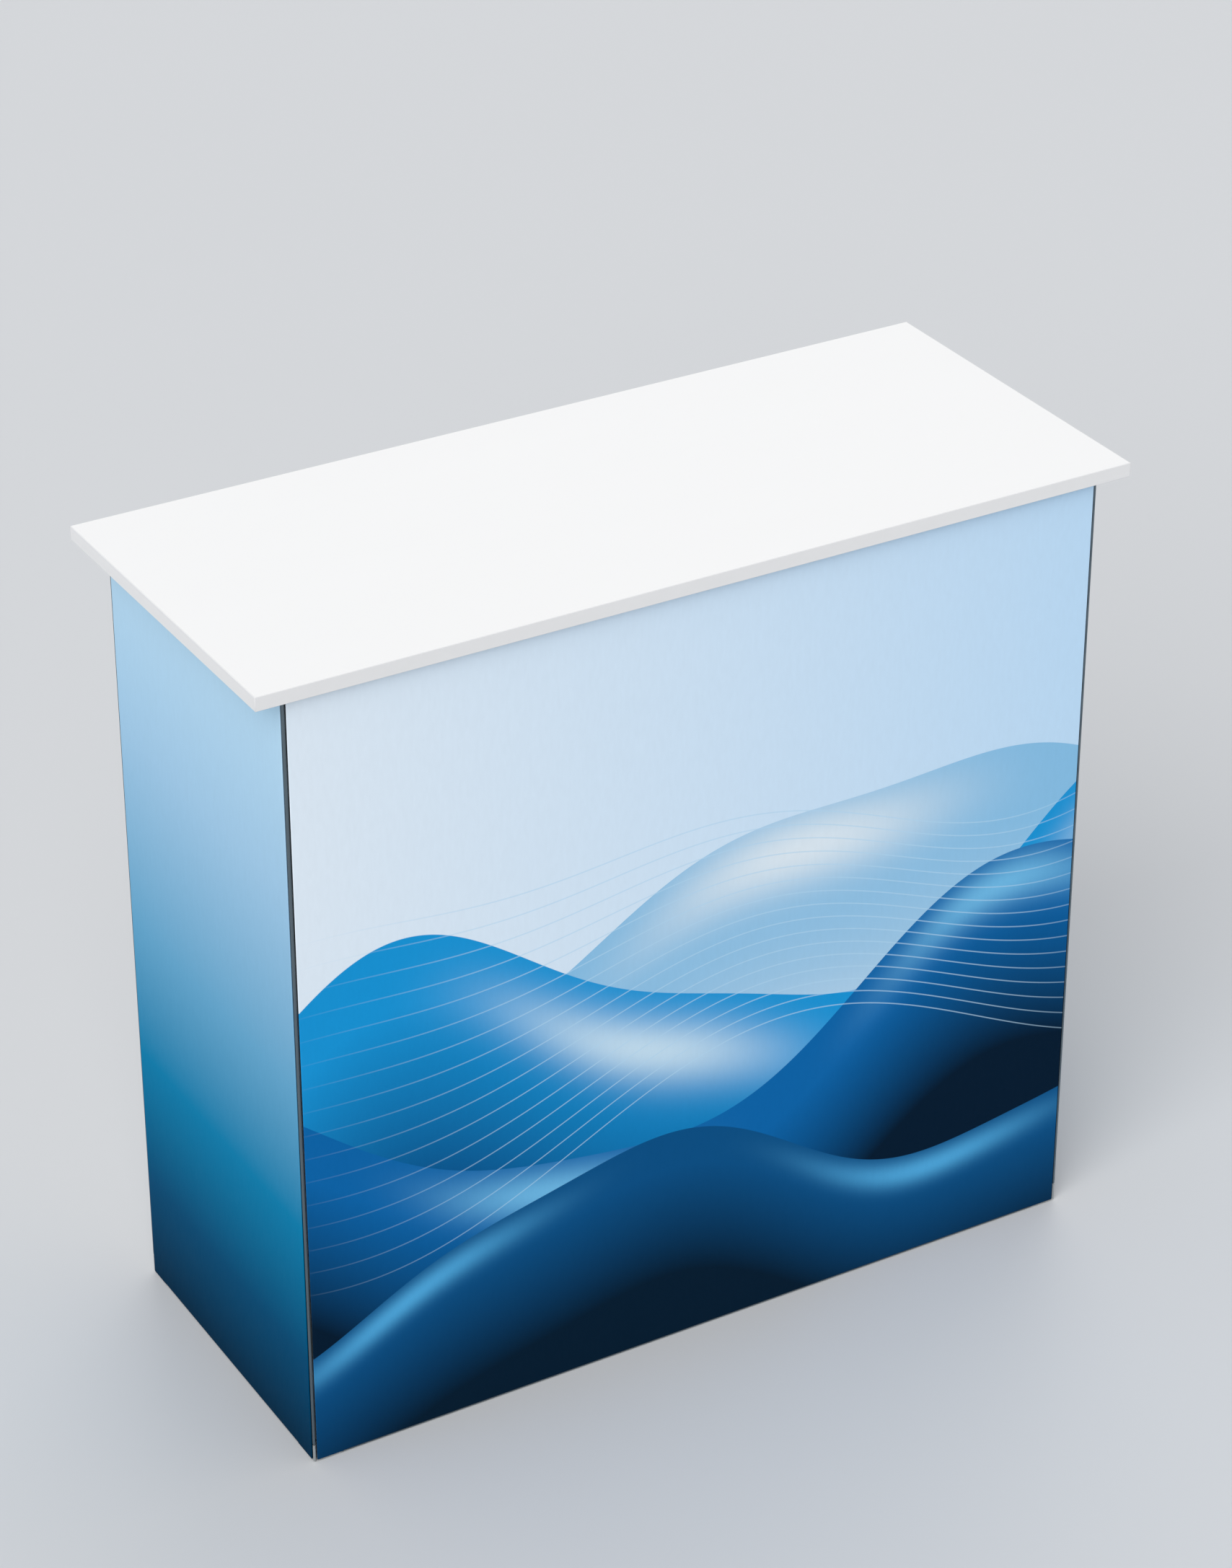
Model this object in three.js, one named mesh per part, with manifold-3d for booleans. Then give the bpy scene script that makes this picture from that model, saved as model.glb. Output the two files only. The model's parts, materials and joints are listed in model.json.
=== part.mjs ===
// An exhibition counter: printed fabric drawn over an aluminium frame, a white laminate worktop,
// and a cupboard behind it with a shelf and two hinged doors that lock.
// Sizes are in millimetres. X runs along the front, the printed front looks towards -Y, and +Z is up.
// The origin is on the floor, under the middle of the worktop. Left and right are as seen from the front.
import * as THREE from "three";
import { mergeVertices } from "three/addons/utils/BufferGeometryUtils.js";
import Module from "manifold-3d";

const wasm = await Module();
wasm.setup();

// Overall sizes
const counterHeight = 1000;
const worktopWidth = 1092;
const worktopDepth = 454;
const worktopThickness = 17;
const edgeBandThickness = 1;
const sideOverhang = 35;
const frontOverhang = 12;
const bodyDepth = 427;
const floorGap = 1.5;

// Fits that many pieces share
const runningGap = 0.3;
const seatGap = 0.1;
const cutOverrun = 5;
const weldDistance = 0.001;

// Fabric and the silicone hem sewn along its edges
const fabricThickness = 0.6;
const hemThickness = 2.4;
const hemReach = 12;
const wrapReach = 10;
const hemCornerCut = 2;
const hemEndGap = 0.6;

// Corner post section, a square extrusion with a round nose between two grooves
const postSize = 36;
const postWall = 2;
const noseRadius = 1.6;
const noseSetback = 2;
const noseWebThickness = 1.5;
const lipFromDiagonal = 3.75;
const postGrooveDepth = 18;

// Foot cap under each post, with the levelling foot that screws into it
const footCapHeight = 23.5;
const spigotLength = 30;
const footInset = 20;
const footDiscRadius = 12.5;
const footDiscThickness = 8;
const footDiscArris = 1;
const footPocketGap = 1;
const studRadius = 5;
const studLength = 36;

// Rails between the posts
const railHeight = 40;
const railDepth = 26;
const railWall = 2;
const railLip = 1.2;

// Angles that fix the worktop to the top rails
const bracketLeg = 35;
const bracketThickness = 3;
const bracketLength = 40;
const bracketInset = 110;

// Base board and shelf
const boardThickness = 16;
const boardInset = 5;
const notchGap = 0.5;
const shelfHeight = 502;
const shelfRearGap = 5;
const shelfRailLeg = 25;
const shelfRailThickness = 2.5;

// Doors
const doorThickness = 16;
const doorRecess = 12;
const doorEndGap = 2;
const doorMiddleGap = 3;
const doorStopGap = 0.5;
const stopThickness = 2;
const stopReach = 14;
const stopGrooveDepth = 5;

// Butt hinges
const hingeHeight = 60;
const hingeInset = 90;
const leafWidth = 16;
const leafThickness = 1.5;
const leafGap = 0.6;
const leafSwingGap = 0.4;
const knuckleRadius = 3.5;
const knuckleGap = 0.4;
const hingePinRadius = 1.5;
const hingePinHeadRadius = 2.6;
const hingePinHeadThickness = 1.2;

// Bow handles
const handleLength = 128;
const handleRadius = 4;
const handleProjection = 25;
const handleBend = 14;
const handleRoseRadius = 7;
const handleRoseThickness = 2;
const handleInset = 40;
const handleDrop = 60;

// Cam locks
const lockInset = 40;
const lockDrop = 32;
const lockBodyRadius = 9;
const lockFlangeRadius = 11.5;
const lockFlangeThickness = 2.5;
const lockFlangeArris = 0.8;
const lockBodyReach = 3;
const lockCoreRadius = 5.5;
const lockTailRadius = 3.5;
const camLength = 30;
const camWidth = 12;
const camThickness = 2;
const camGap = 0.5;
const camScrewRadius = 5;
const camScrewThickness = 1.8;
const keySlotWidth = 1.3;
const keySlotHeight = 6.5;
const keySlotDepth = 6;

// How finely round shapes are cut
const noseSides = 16;
const roundSides = 24;
const smallRoundSides = 16;
const handleSides = 8;
const handleSteps = 30;

// Places that follow from the sizes above
const bodyWidth = worktopWidth - 2 * sideOverhang;
const frontPlane = frontOverhang - worktopDepth / 2;
const rearPlane = frontPlane + bodyDepth;
const underside = counterHeight - worktopThickness;
const faceDepth = fabricThickness + runningGap;
const footCapTop = floorGap + footCapHeight;
const bottomRailTop = floorGap + railHeight;
const topRailBottom = underside - railHeight;
const postInside = bodyWidth / 2 - postSize;
const doorFace = rearPlane - doorRecess;
const doorBack = doorFace - doorThickness;
const stopNear = doorRecess + doorThickness + doorStopGap;
const stopFar = stopNear + stopThickness;
const doorTop = topRailBottom - doorEndGap;
const doorBottom = bottomRailTop + doorEndGap;
const hingeFromPost = seatGap + runningGap + knuckleRadius;
const hingeFromDoor = knuckleRadius + leafSwingGap;

// Finishes
function finish(color, roughness, metalness) {
  return new THREE.MeshStandardMaterial({ color, roughness, metalness });
}

const laminate = finish(0xf4f4f3, 0.42, 0);
const edgeBand = finish(0xe6e6e6, 0.45, 0);
const board = finish(0xeeeeec, 0.5, 0);
const anodised = finish(0xa4a8aa, 0.38, 1);
const castGrey = finish(0x9a9d9d, 0.5, 0.6);
const frontPrint = finish(0x4a9fd4, 0.7, 0);
const sidePrint = finish(0x2f83b4, 0.7, 0);
const zincSteel = finish(0x9d9fa0, 0.35, 1);
const satinSteel = finish(0xb4b5b4, 0.3, 1);
const nickel = finish(0xc4c2bc, 0.18, 1);
const darkNylon = finish(0x26282a, 0.6, 0);

// Solids that can be cut and joined
function solid(geometry) {
  const bare = geometry.clone();
  bare.deleteAttribute("normal");
  bare.deleteAttribute("uv");
  const welded = mergeVertices(bare, weldDistance);
  return new wasm.Manifold(
    new wasm.Mesh({
      numProp: 3,
      vertProperties: welded.attributes.position.array,
      triVerts: new Uint32Array(welded.index.array),
    }),
  );
}

function join(...geometries) {
  const sum = geometries.map(solid).reduce((whole, piece) => whole.add(piece));
  return geometryOf(sum);
}

function cut(geometry, ...cutters) {
  const rest = cutters.map(solid).reduce((whole, cutter) => whole.subtract(cutter), solid(geometry));
  return geometryOf(rest);
}

function geometryOf(manifold) {
  const mesh = manifold.getMesh();
  const geometry = new THREE.BufferGeometry();
  geometry.setAttribute("position", new THREE.BufferAttribute(mesh.vertProperties, 3));
  geometry.setIndex(new THREE.BufferAttribute(mesh.triVerts, 1));
  geometry.computeVertexNormals();
  return geometry;
}

// Unit shapes stretched between two ends in one step, so that neighbours given the same value meet exactly
function stretched(geometry, [x0, x1], [y0, y1], [z0, z1]) {
  const matrix = new THREE.Matrix4().makeScale(x1 - x0, y1 - y0, z1 - z0).setPosition(x0, y0, z0);
  return geometry.applyMatrix4(matrix);
}

function block(x, y, z) {
  return stretched(new THREE.BoxGeometry(1, 1, 1).translate(1 / 2, 1 / 2, 1 / 2), x, y, z);
}

function upright(shape, z0, z1) {
  const settings = { depth: 1, bevelEnabled: false, curveSegments: noseSides };
  return stretched(new THREE.ExtrudeGeometry(shape, settings), [0, 1], [0, 1], [z0, z1]);
}

function rod(radius, x, y, z, sides) {
  const unit = new THREE.CylinderGeometry(1, 1, 1, sides).rotateX(Math.PI / 2).translate(0, 0, 1 / 2);
  return stretched(unit, [x, x + radius], [y, y + radius], z);
}

// A section drawn as depth and height, run along X
const alongAxisX = new THREE.Matrix4().makeBasis(
  new THREE.Vector3(0, 1, 0),
  new THREE.Vector3(0, 0, 1),
  new THREE.Vector3(1, 0, 0),
);

function alongX(shape, x0, x1) {
  return upright(shape, x0, x1).applyMatrix4(alongAxisX);
}

// An outline drawn as width and height, given a thickness along Y
const alongAxisY = new THREE.Matrix4().makeBasis(
  new THREE.Vector3(1, 0, 0),
  new THREE.Vector3(0, 0, 1),
  new THREE.Vector3(0, -1, 0),
);

function alongY(shape, y0, y1) {
  return upright(shape, -y1, -y0).applyMatrix4(alongAxisY);
}

function polygon(points) {
  return new THREE.Shape(points.map(([x, y]) => new THREE.Vector2(x, y)));
}

function named(name, geometry, material) {
  const mesh = new THREE.Mesh(geometry, material);
  mesh.name = name;
  return mesh;
}

// Points of a post's section by distance along its diagonal and across it
function onDiagonal(along, across) {
  return [(along + across) * Math.SQRT1_2, (along - across) * Math.SQRT1_2];
}

const lipPoint = [faceDepth + Math.SQRT2 * lipFromDiagonal, faceDepth];

// The square section with its nose and a groove of the given depth on each side of it
function cornerSection(grooveDepth) {
  const web = noseWebThickness / 2;
  const [noseX, noseY] = onDiagonal(noseSetback + noseRadius, 0);
  const spread = Math.asin(web / noseRadius);
  const inward = Math.PI / 4;
  const shape = new THREE.Shape();
  shape.moveTo(postSize, postSize);
  shape.lineTo(postSize, faceDepth);
  shape.lineTo(...lipPoint);
  shape.lineTo(...onDiagonal(grooveDepth, lipFromDiagonal));
  shape.lineTo(...onDiagonal(grooveDepth, web));
  shape.absarc(noseX, noseY, noseRadius, inward - spread, inward + spread - 2 * Math.PI, true);
  shape.lineTo(...onDiagonal(grooveDepth, -web));
  shape.lineTo(...onDiagonal(grooveDepth, -lipFromDiagonal));
  shape.lineTo(...[...lipPoint].reverse());
  shape.lineTo(faceDepth, postSize);
  return shape;
}

// The hollow inside the post, with the given wall left round it
function chamberSection(wall) {
  const near = faceDepth + wall;
  const far = postSize - wall;
  const lip = lipFromDiagonal + wall;
  const end = postGrooveDepth + wall;
  const shoulder = near + Math.SQRT2 * lip;
  return polygon([
    [far, far],
    [near, far],
    [near, shoulder],
    onDiagonal(end, -lip),
    onDiagonal(end, lip),
    [shoulder, near],
    [far, near],
  ]);
}

function cornerPost(place) {
  const section = cornerSection(postGrooveDepth);
  section.holes.push(chamberSection(postWall));
  return named("corner_post_" + place, upright(section, footCapTop, underside), anodised);
}

// The cap closes the post's lower end and holds the levelling foot
function footCap(place) {
  const pocketTop = floorGap + footDiscThickness + footPocketGap / 2;
  const spigotTop = footCapTop + spigotLength;
  const cap = upright(cornerSection(wrapReach + hemEndGap), floorGap, footCapTop);
  const spigot = upright(chamberSection(postWall + runningGap), pocketTop, spigotTop);
  const pocketEnds = [-cutOverrun, pocketTop];
  const pocket = rod(footDiscRadius + footPocketGap, footInset, footInset, pocketEnds, roundSides);
  const boreEnds = [-cutOverrun, spigotTop + cutOverrun];
  const bore = rod(studRadius + runningGap, footInset, footInset, boreEnds, smallRoundSides);
  return named("foot_cap_" + place, cut(join(cap, spigot), pocket, bore), castGrey);
}

function levellingFoot(place) {
  const outline = [
    [0, 0],
    [footDiscRadius - footDiscArris, 0],
    [footDiscRadius, footDiscArris],
    [footDiscRadius, footDiscThickness - footDiscArris],
    [footDiscRadius - footDiscArris, footDiscThickness],
    [studRadius, footDiscThickness],
    [studRadius, footDiscThickness + studLength],
    [0, footDiscThickness + studLength],
  ].map(([radius, height]) => new THREE.Vector2(radius, height));
  const foot = named("levelling_foot_" + place, new THREE.LatheGeometry(outline, roundSides), darkNylon);
  foot.rotation.x = Math.PI / 2;
  foot.position.set(footInset, footInset, 0);
  return foot;
}

// A rail behind a fabric face, with the groove for its hem near the outer end of its height
function grooveRail(name, outerEnd, innerEnd, faceWidth) {
  const inward = Math.sign(innerEnd - outerEnd);
  const back = faceDepth + railDepth;
  const grooveNear = outerEnd + inward * railLip;
  const grooveFar = grooveNear + inward * (hemThickness + 2 * runningGap);
  const grooveEnd = hemReach + hemEndGap;
  const section = polygon([
    [faceDepth, outerEnd],
    [faceDepth, grooveNear],
    [grooveEnd, grooveNear],
    [grooveEnd, grooveFar],
    [faceDepth, grooveFar],
    [faceDepth, innerEnd],
    [back, innerEnd],
    [back, outerEnd],
  ]);
  const chamberStart = grooveFar + inward * railWall;
  const chamberStop = innerEnd - inward * railWall;
  section.holes.push(
    polygon([
      [faceDepth + railWall, chamberStart],
      [back - railWall, chamberStart],
      [back - railWall, chamberStop],
      [faceDepth + railWall, chamberStop],
    ]),
  );
  const ends = [postSize + seatGap, faceWidth - postSize - seatGap];
  return named(name, alongX(section, ...ends), anodised);
}

// A box outline, by depth and height, whose lower side may step up over the door stop's groove
function rearSection([near, far], [bottom, top], step) {
  return polygon([[near, top], [near, bottom], ...step, [far, bottom], [far, top]]);
}

function stepOver(clearance, bottom, top) {
  return [
    [stopNear - clearance, bottom],
    [stopNear - clearance, top],
    [stopFar + clearance, top],
    [stopFar + clearance, bottom],
  ];
}

// A box rail at the rear, level with the doors, that may have a groove underneath for their stop
function rearRail(name, bottom, top, hasGroove) {
  const near = doorRecess;
  const far = doorRecess + railDepth;
  const floor = bottom + railWall;
  const grooveTop = bottom + stopGrooveDepth;
  const groove = hasGroove ? stepOver(runningGap, bottom, grooveTop) : [];
  const grooveWall = hasGroove ? stepOver(runningGap + railWall, floor, grooveTop + railWall) : [];
  const section = rearSection([near, far], [bottom, top], groove);
  const chamber = rearSection([near + railWall, far - railWall], [floor, top - railWall], grooveWall);
  section.holes.push(chamber);
  const ends = [postSize + seatGap, bodyWidth - postSize - seatGap];
  return named(name, alongX(section, ...ends), anodised);
}

// The strip that the doors close against and their lock cams catch behind
function doorStop() {
  const heights = [topRailBottom - stopReach, topRailBottom + stopGrooveDepth - runningGap];
  const ends = [postSize + seatGap, bodyWidth - postSize - seatGap];
  return named("door_stop_strip", block(ends, [stopNear, stopFar], heights), anodised);
}

// An angle between two side posts that carries one end of the shelf
function shelfRail(name) {
  const near = boardInset;
  const section = polygon([
    [near, shelfHeight],
    [near, shelfHeight - shelfRailLeg],
    [near + shelfRailThickness, shelfHeight - shelfRailLeg],
    [near + shelfRailThickness, shelfHeight - shelfRailThickness],
    [near + shelfRailLeg, shelfHeight - shelfRailThickness],
    [near + shelfRailLeg, shelfHeight],
  ]);
  const ends = [postSize + seatGap, bodyDepth - postSize - seatGap];
  return named(name, alongX(section, ...ends), anodised);
}

// The printed fabric of one face: it turns round the post lips into the grooves, and its four
// edges carry a thicker hem. The hems at the top and bottom stop short of the posts.
function graphic(name, faceWidth, material) {
  const bottom = floorGap + railLip + runningGap;
  const top = underside - railLip - runningGap;
  const outside = lipFromDiagonal - faceDepth;
  const inside = lipFromDiagonal - runningGap;
  const mirrored = ([x, y]) => [faceWidth - x, y];
  const [outwards, intoGroove] = [-Math.PI / 2, (-5 * Math.PI) / 4];
  const sheet = new THREE.Shape();
  sheet.moveTo(...onDiagonal(wrapReach, inside));
  sheet.lineTo(...onDiagonal(wrapReach, outside));
  sheet.absarc(...lipPoint, faceDepth, intoGroove, outwards, false);
  sheet.absarc(...mirrored(lipPoint), faceDepth, outwards, Math.PI - intoGroove - 2 * Math.PI, false);
  sheet.lineTo(...mirrored(onDiagonal(wrapReach, outside)));
  sheet.lineTo(...mirrored(onDiagonal(wrapReach, inside)));
  sheet.absarc(...mirrored(lipPoint), runningGap, Math.PI - intoGroove - 2 * Math.PI, outwards, true);
  sheet.absarc(...lipPoint, runningGap, outwards, intoGroove, true);
  const hem = [
    onDiagonal(wrapReach - hemThickness, inside),
    onDiagonal(wrapReach - hemThickness, outside),
    onDiagonal(wrapReach - hemEndGap, outside),
    onDiagonal(wrapReach - hemEndGap, inside - hemThickness),
    onDiagonal(postGrooveDepth - hemEndGap, inside - hemThickness),
    onDiagonal(postGrooveDepth - hemEndGap, inside),
  ];
  const hemEnds = [footCapTop + hemCornerCut, top - hemCornerCut];
  const hemSpan = [postSize + hemCornerCut, faceWidth - postSize - hemCornerCut];
  const pieces = [
    upright(sheet, bottom, top),
    upright(polygon(hem), ...hemEnds),
    upright(polygon(hem.map(mirrored)), ...hemEnds),
    block(hemSpan, [0, hemReach], [bottom, bottom + hemThickness]),
    block(hemSpan, [0, hemReach], [top - hemThickness, top]),
  ];
  return named(name, join(...pieces), material);
}

// The worktop: a faced board with a thin band glued on each edge
function worktop() {
  const x = worktopWidth / 2;
  const y = worktopDepth / 2;
  const inX = x - edgeBandThickness;
  const inY = y - edgeBandThickness;
  const z = [underside, counterHeight];
  return [
    named("worktop_board", block([-inX, inX], [-inY, inY], z), laminate),
    named("edge_band_front", block([-x, x], [-y, -inY], z), edgeBand),
    named("edge_band_rear", block([-x, x], [inY, y], z), edgeBand),
    named("edge_band_left", block([-x, -inX], [-inY, inY], z), edgeBand),
    named("edge_band_right", block([inX, x], [-inY, inY], z), edgeBand),
  ];
}

// An angle under the worktop, screwed to a top rail's inner face
function worktopBracket(place, x, y, inward) {
  const leg = inward * bracketLeg;
  const thick = inward * bracketThickness;
  const section = polygon([
    [y, underside],
    [y + leg, underside],
    [y + leg, underside - bracketThickness],
    [y + thick, underside - bracketThickness],
    [y + thick, underside - bracketLeg],
    [y, underside - bracketLeg],
  ]);
  const ends = [x - bracketLength / 2, x + bracketLength / 2];
  return named("worktop_bracket_" + place, alongX(section, ...ends), zincSteel);
}

// A board across the whole cupboard, notched round the four posts
function notchedBoard(name, bottom, rearEdge) {
  const side = bodyWidth / 2 - boardInset;
  const inner = postInside - notchGap;
  const front = frontPlane + boardInset;
  const frontNotch = frontPlane + postSize + notchGap;
  const rearNotch = rearPlane - postSize - notchGap;
  const outline = polygon([
    [-inner, front],
    [inner, front],
    [inner, frontNotch],
    [side, frontNotch],
    [side, rearNotch],
    [inner, rearNotch],
    [inner, rearEdge],
    [-inner, rearEdge],
    [-inner, rearNotch],
    [-side, rearNotch],
    [-side, frontNotch],
    [-inner, frontNotch],
  ]);
  return named(name, upright(outline, bottom, bottom + boardThickness), board);
}

// Door pieces are drawn from the hinge axis: across is the way from the axis to the door's free
// edge, and depth 0 is the axis. The left door runs towards +X, and the right door towards -X.
const frameLeafNear = seatGap - hingeFromPost;
const doorLeafNear = frameLeafNear + leafThickness + leafGap;
const doorEdge = doorLeafNear + leafThickness + seatGap;
const doorFreeEdge = postInside - hingeFromPost - doorMiddleGap / 2;
const lockHeight = doorTop - lockDrop;

function acrossBlock(direction, [near, far], depth, height) {
  const ends = [direction * near, direction * far].sort((a, b) => a - b);
  return block(ends, depth, height);
}

function hingeLeaf(name, direction, near, middle, knuckles) {
  const across = [near, near + leafThickness];
  const [low, high] = [middle - hingeHeight / 2, middle + hingeHeight / 2];
  const plate = acrossBlock(direction, across, [-leafWidth, -hingeFromDoor], [low, high]);
  const pieces = knuckles.flatMap((height) => [
    acrossBlock(direction, across, [-hingeFromDoor - leafThickness, 0], height),
    rod(knuckleRadius, 0, 0, height, smallRoundSides),
  ]);
  const boreEnds = [low - cutOverrun, high + cutOverrun];
  const bore = rod(hingePinRadius + runningGap, 0, 0, boreEnds, smallRoundSides);
  return named(name, cut(join(plate, ...pieces), bore), zincSteel);
}

// A butt hinge of three knuckles: two on the leaf screwed to the post, one on the door's leaf
function hinge(place, direction, middle) {
  const low = middle - hingeHeight / 2;
  const high = middle + hingeHeight / 2;
  const third = hingeHeight / 3;
  const half = knuckleGap / 2;
  const headBottom = high + seatGap;
  const outer = [
    [low, low + third - half],
    [high - third + half, high],
  ];
  const inner = [[low + third + half, high - third - half]];
  const outline = [
    [0, low],
    [hingePinRadius, low],
    [hingePinRadius, headBottom],
    [hingePinHeadRadius, headBottom],
    [hingePinHeadRadius, headBottom + hingePinHeadThickness],
    [0, headBottom + hingePinHeadThickness],
  ].map(([radius, height]) => new THREE.Vector2(radius, height));
  const pin = new THREE.LatheGeometry(outline, smallRoundSides).rotateX(Math.PI / 2);
  return [
    hingeLeaf("hinge_post_leaf_" + place, direction, frameLeafNear, middle, outer),
    hingeLeaf("hinge_door_leaf_" + place, direction, doorLeafNear, middle, inner),
    named("hinge_pin_" + place, pin, zincSteel),
  ];
}

function doorPanel(side, direction) {
  const ends = [direction * doorEdge, direction * doorFreeEdge];
  const outline = polygon([
    [ends[0], doorBottom],
    [ends[1], doorBottom],
    [ends[1], doorTop],
    [ends[0], doorTop],
  ]);
  const hole = new THREE.Path();
  const lockX = direction * (doorFreeEdge - lockInset);
  hole.absarc(lockX, lockHeight, lockBodyRadius + runningGap, 0, 2 * Math.PI);
  outline.holes.push(hole);
  const faces = [-hingeFromDoor - doorThickness, -hingeFromDoor];
  return named("door_" + side, alongY(outline, ...faces), board);
}

// A round bar bent out from two roses on the door's face
function doorHandle(side, direction) {
  const x = direction * (doorFreeEdge - handleInset);
  const face = seatGap - hingeFromDoor;
  const out = handleProjection - hingeFromDoor - handleRadius;
  const top = lockHeight - handleDrop;
  const bottom = top - handleLength;
  const at = (y, z) => new THREE.Vector3(x, y, z);
  const stemEnd = out - handleBend;
  const gripEnds = [bottom + handleBend, top - handleBend];
  const path = new THREE.CurvePath();
  path.add(new THREE.LineCurve3(at(face, bottom), at(stemEnd, bottom)));
  path.add(new THREE.QuadraticBezierCurve3(at(stemEnd, bottom), at(out, bottom), at(out, gripEnds[0])));
  path.add(new THREE.LineCurve3(at(out, gripEnds[0]), at(out, gripEnds[1])));
  path.add(new THREE.QuadraticBezierCurve3(at(out, gripEnds[1]), at(out, top), at(stemEnd, top)));
  path.add(new THREE.LineCurve3(at(stemEnd, top), at(face, top)));
  const circle = new THREE.Shape().absarc(0, 0, handleRadius, 0, 2 * Math.PI);
  const settings = { steps: handleSteps, extrudePath: path, curveSegments: handleSides };
  const bar = new THREE.ExtrudeGeometry(circle, settings);
  const roses = [bottom, top].map((z) => {
    const size = [handleRoseRadius, handleRoseRadius, handleRoseThickness];
    const rose = new THREE.CylinderGeometry(...size, roundSides);
    return rose.translate(x, face + handleRoseThickness / 2, z);
  });
  return named("door_handle_" + side, join(bar, ...roses), satinSteel);
}

// The lock's fixed housing, its turning core, and the cam that catches behind the stop strip
function doorLock(side, direction) {
  const x = direction * (doorFreeEdge - lockInset);
  const face = -hingeFromDoor;
  const inner = face - doorThickness - lockBodyReach;
  const front = face + lockFlangeThickness;
  const camFront = inner - camGap;
  const camBack = camFront - camThickness;
  const screwFront = camBack - runningGap;
  const screwBack = screwFront - camScrewThickness;
  const ring = ([radius, y]) => new THREE.Vector2(radius, y);
  const boreRadius = lockCoreRadius + runningGap;
  const housing = [
    [boreRadius, inner],
    [lockBodyRadius, inner],
    [lockBodyRadius, face + seatGap],
    [lockFlangeRadius, face + seatGap],
    [lockFlangeRadius, front - lockFlangeArris],
    [lockFlangeRadius - lockFlangeArris, front],
    [boreRadius, front],
    [boreRadius, inner],
  ].map(ring);
  const core = [
    [0, screwBack],
    [camScrewRadius, screwBack],
    [camScrewRadius, screwFront],
    [lockTailRadius, screwFront],
    [lockTailRadius, inner],
    [lockCoreRadius, inner],
    [lockCoreRadius, front - seatGap],
    [0, front - seatGap],
  ].map(ring);
  const slot = block(
    [-keySlotWidth / 2, keySlotWidth / 2],
    [front - keySlotDepth, front + cutOverrun],
    [-keySlotHeight / 2, keySlotHeight / 2],
  );
  const arm = new THREE.Shape();
  const tip = camLength - camWidth / 2;
  arm.absarc(0, 0, camWidth / 2, Math.PI / 2, -Math.PI / 2, true);
  arm.absarc(-tip, 0, camWidth / 2, -Math.PI / 2, Math.PI / 2, true);
  arm.holes.push(new THREE.Path().absarc(0, 0, lockTailRadius + runningGap, 0, 2 * Math.PI));
  const cam = alongY(arm, camBack, camFront);
  if (direction < 0) cam.rotateY(Math.PI);
  const pieces = [
    named("lock_housing_" + side, new THREE.LatheGeometry(housing, roundSides), nickel),
    named("lock_core_" + side, cut(new THREE.LatheGeometry(core, roundSides), slot), nickel),
    named("lock_cam_" + side, cam, zincSteel),
  ];
  pieces.forEach((piece) => piece.position.set(x, 0, lockHeight));
  return pieces;
}

// One side's door with everything that hangs on its hinge line
function doorSet(side, direction) {
  const group = new THREE.Group();
  group.position.set(-direction * (postInside - hingeFromPost), doorFace + hingeFromDoor, 0);
  group.add(doorPanel(side, direction), doorHandle(side, direction), ...doorLock(side, direction));
  group.add(...hinge(side + "_lower", direction, doorBottom + hingeInset));
  group.add(...hinge(side + "_upper", direction, doorTop - hingeInset));
  return group;
}

// The four faces, each with the post at its left-hand corner as seen from outside
function face(x, y, turns) {
  const group = new THREE.Group();
  group.position.set(x, y, 0);
  group.rotation.z = (turns * Math.PI) / 2;
  return group;
}

function corner(place) {
  return [cornerPost(place), footCap(place), levellingFoot(place)];
}

function fabricFace(side, width, material) {
  return [
    grooveRail("bottom_rail_" + side, floorGap, bottomRailTop, width),
    grooveRail("top_rail_" + side, underside, topRailBottom, width),
    graphic("graphic_" + side, width, material),
  ];
}

const half = bodyWidth / 2;
const front = face(-half, frontPlane, 0);
front.add(...corner("front_left"), ...fabricFace("front", bodyWidth, frontPrint));
const right = face(half, frontPlane, 1);
right.add(...corner("front_right"), ...fabricFace("right", bodyDepth, sidePrint));
right.add(shelfRail("shelf_rail_right"));
const rear = face(half, rearPlane, 2);
rear.add(...corner("rear_right"));
rear.add(rearRail("bottom_rail_rear", floorGap, bottomRailTop, false));
rear.add(rearRail("top_rail_rear", topRailBottom, underside, true), doorStop());
const left = face(-half, rearPlane, 3);
left.add(...corner("rear_left"), ...fabricFace("left", bodyDepth, sidePrint));
left.add(shelfRail("shelf_rail_left"));

const counter = new THREE.Group();
counter.add(front, right, rear, left, ...worktop());
counter.add(notchedBoard("base_board", bottomRailTop, doorBack - doorStopGap));
counter.add(notchedBoard("shelf", shelfHeight, doorBack - shelfRearGap));
const bracketX = postInside - bracketInset;
const frontRailBack = frontPlane + faceDepth + railDepth + seatGap;
const rearRailBack = doorFace - railDepth - seatGap;
counter.add(worktopBracket("front_left", -bracketX, frontRailBack, 1));
counter.add(worktopBracket("front_right", bracketX, frontRailBack, 1));
counter.add(worktopBracket("rear_left", -bracketX, rearRailBack, -1));
counter.add(worktopBracket("rear_right", bracketX, rearRailBack, -1));
counter.add(doorSet("left", 1), doorSet("right", -1));

export default counter;
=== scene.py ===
"""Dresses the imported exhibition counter: its printed fabric, boards, aluminium frame and fittings."""

import json
from functools import partial
from math import atan2, pi, radians, sqrt
from typing import NamedTuple

import bmesh
import bpy
from bpy.props import FloatProperty, FloatVectorProperty, IntProperty, PointerProperty
from mathutils import Matrix, Vector

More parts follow.
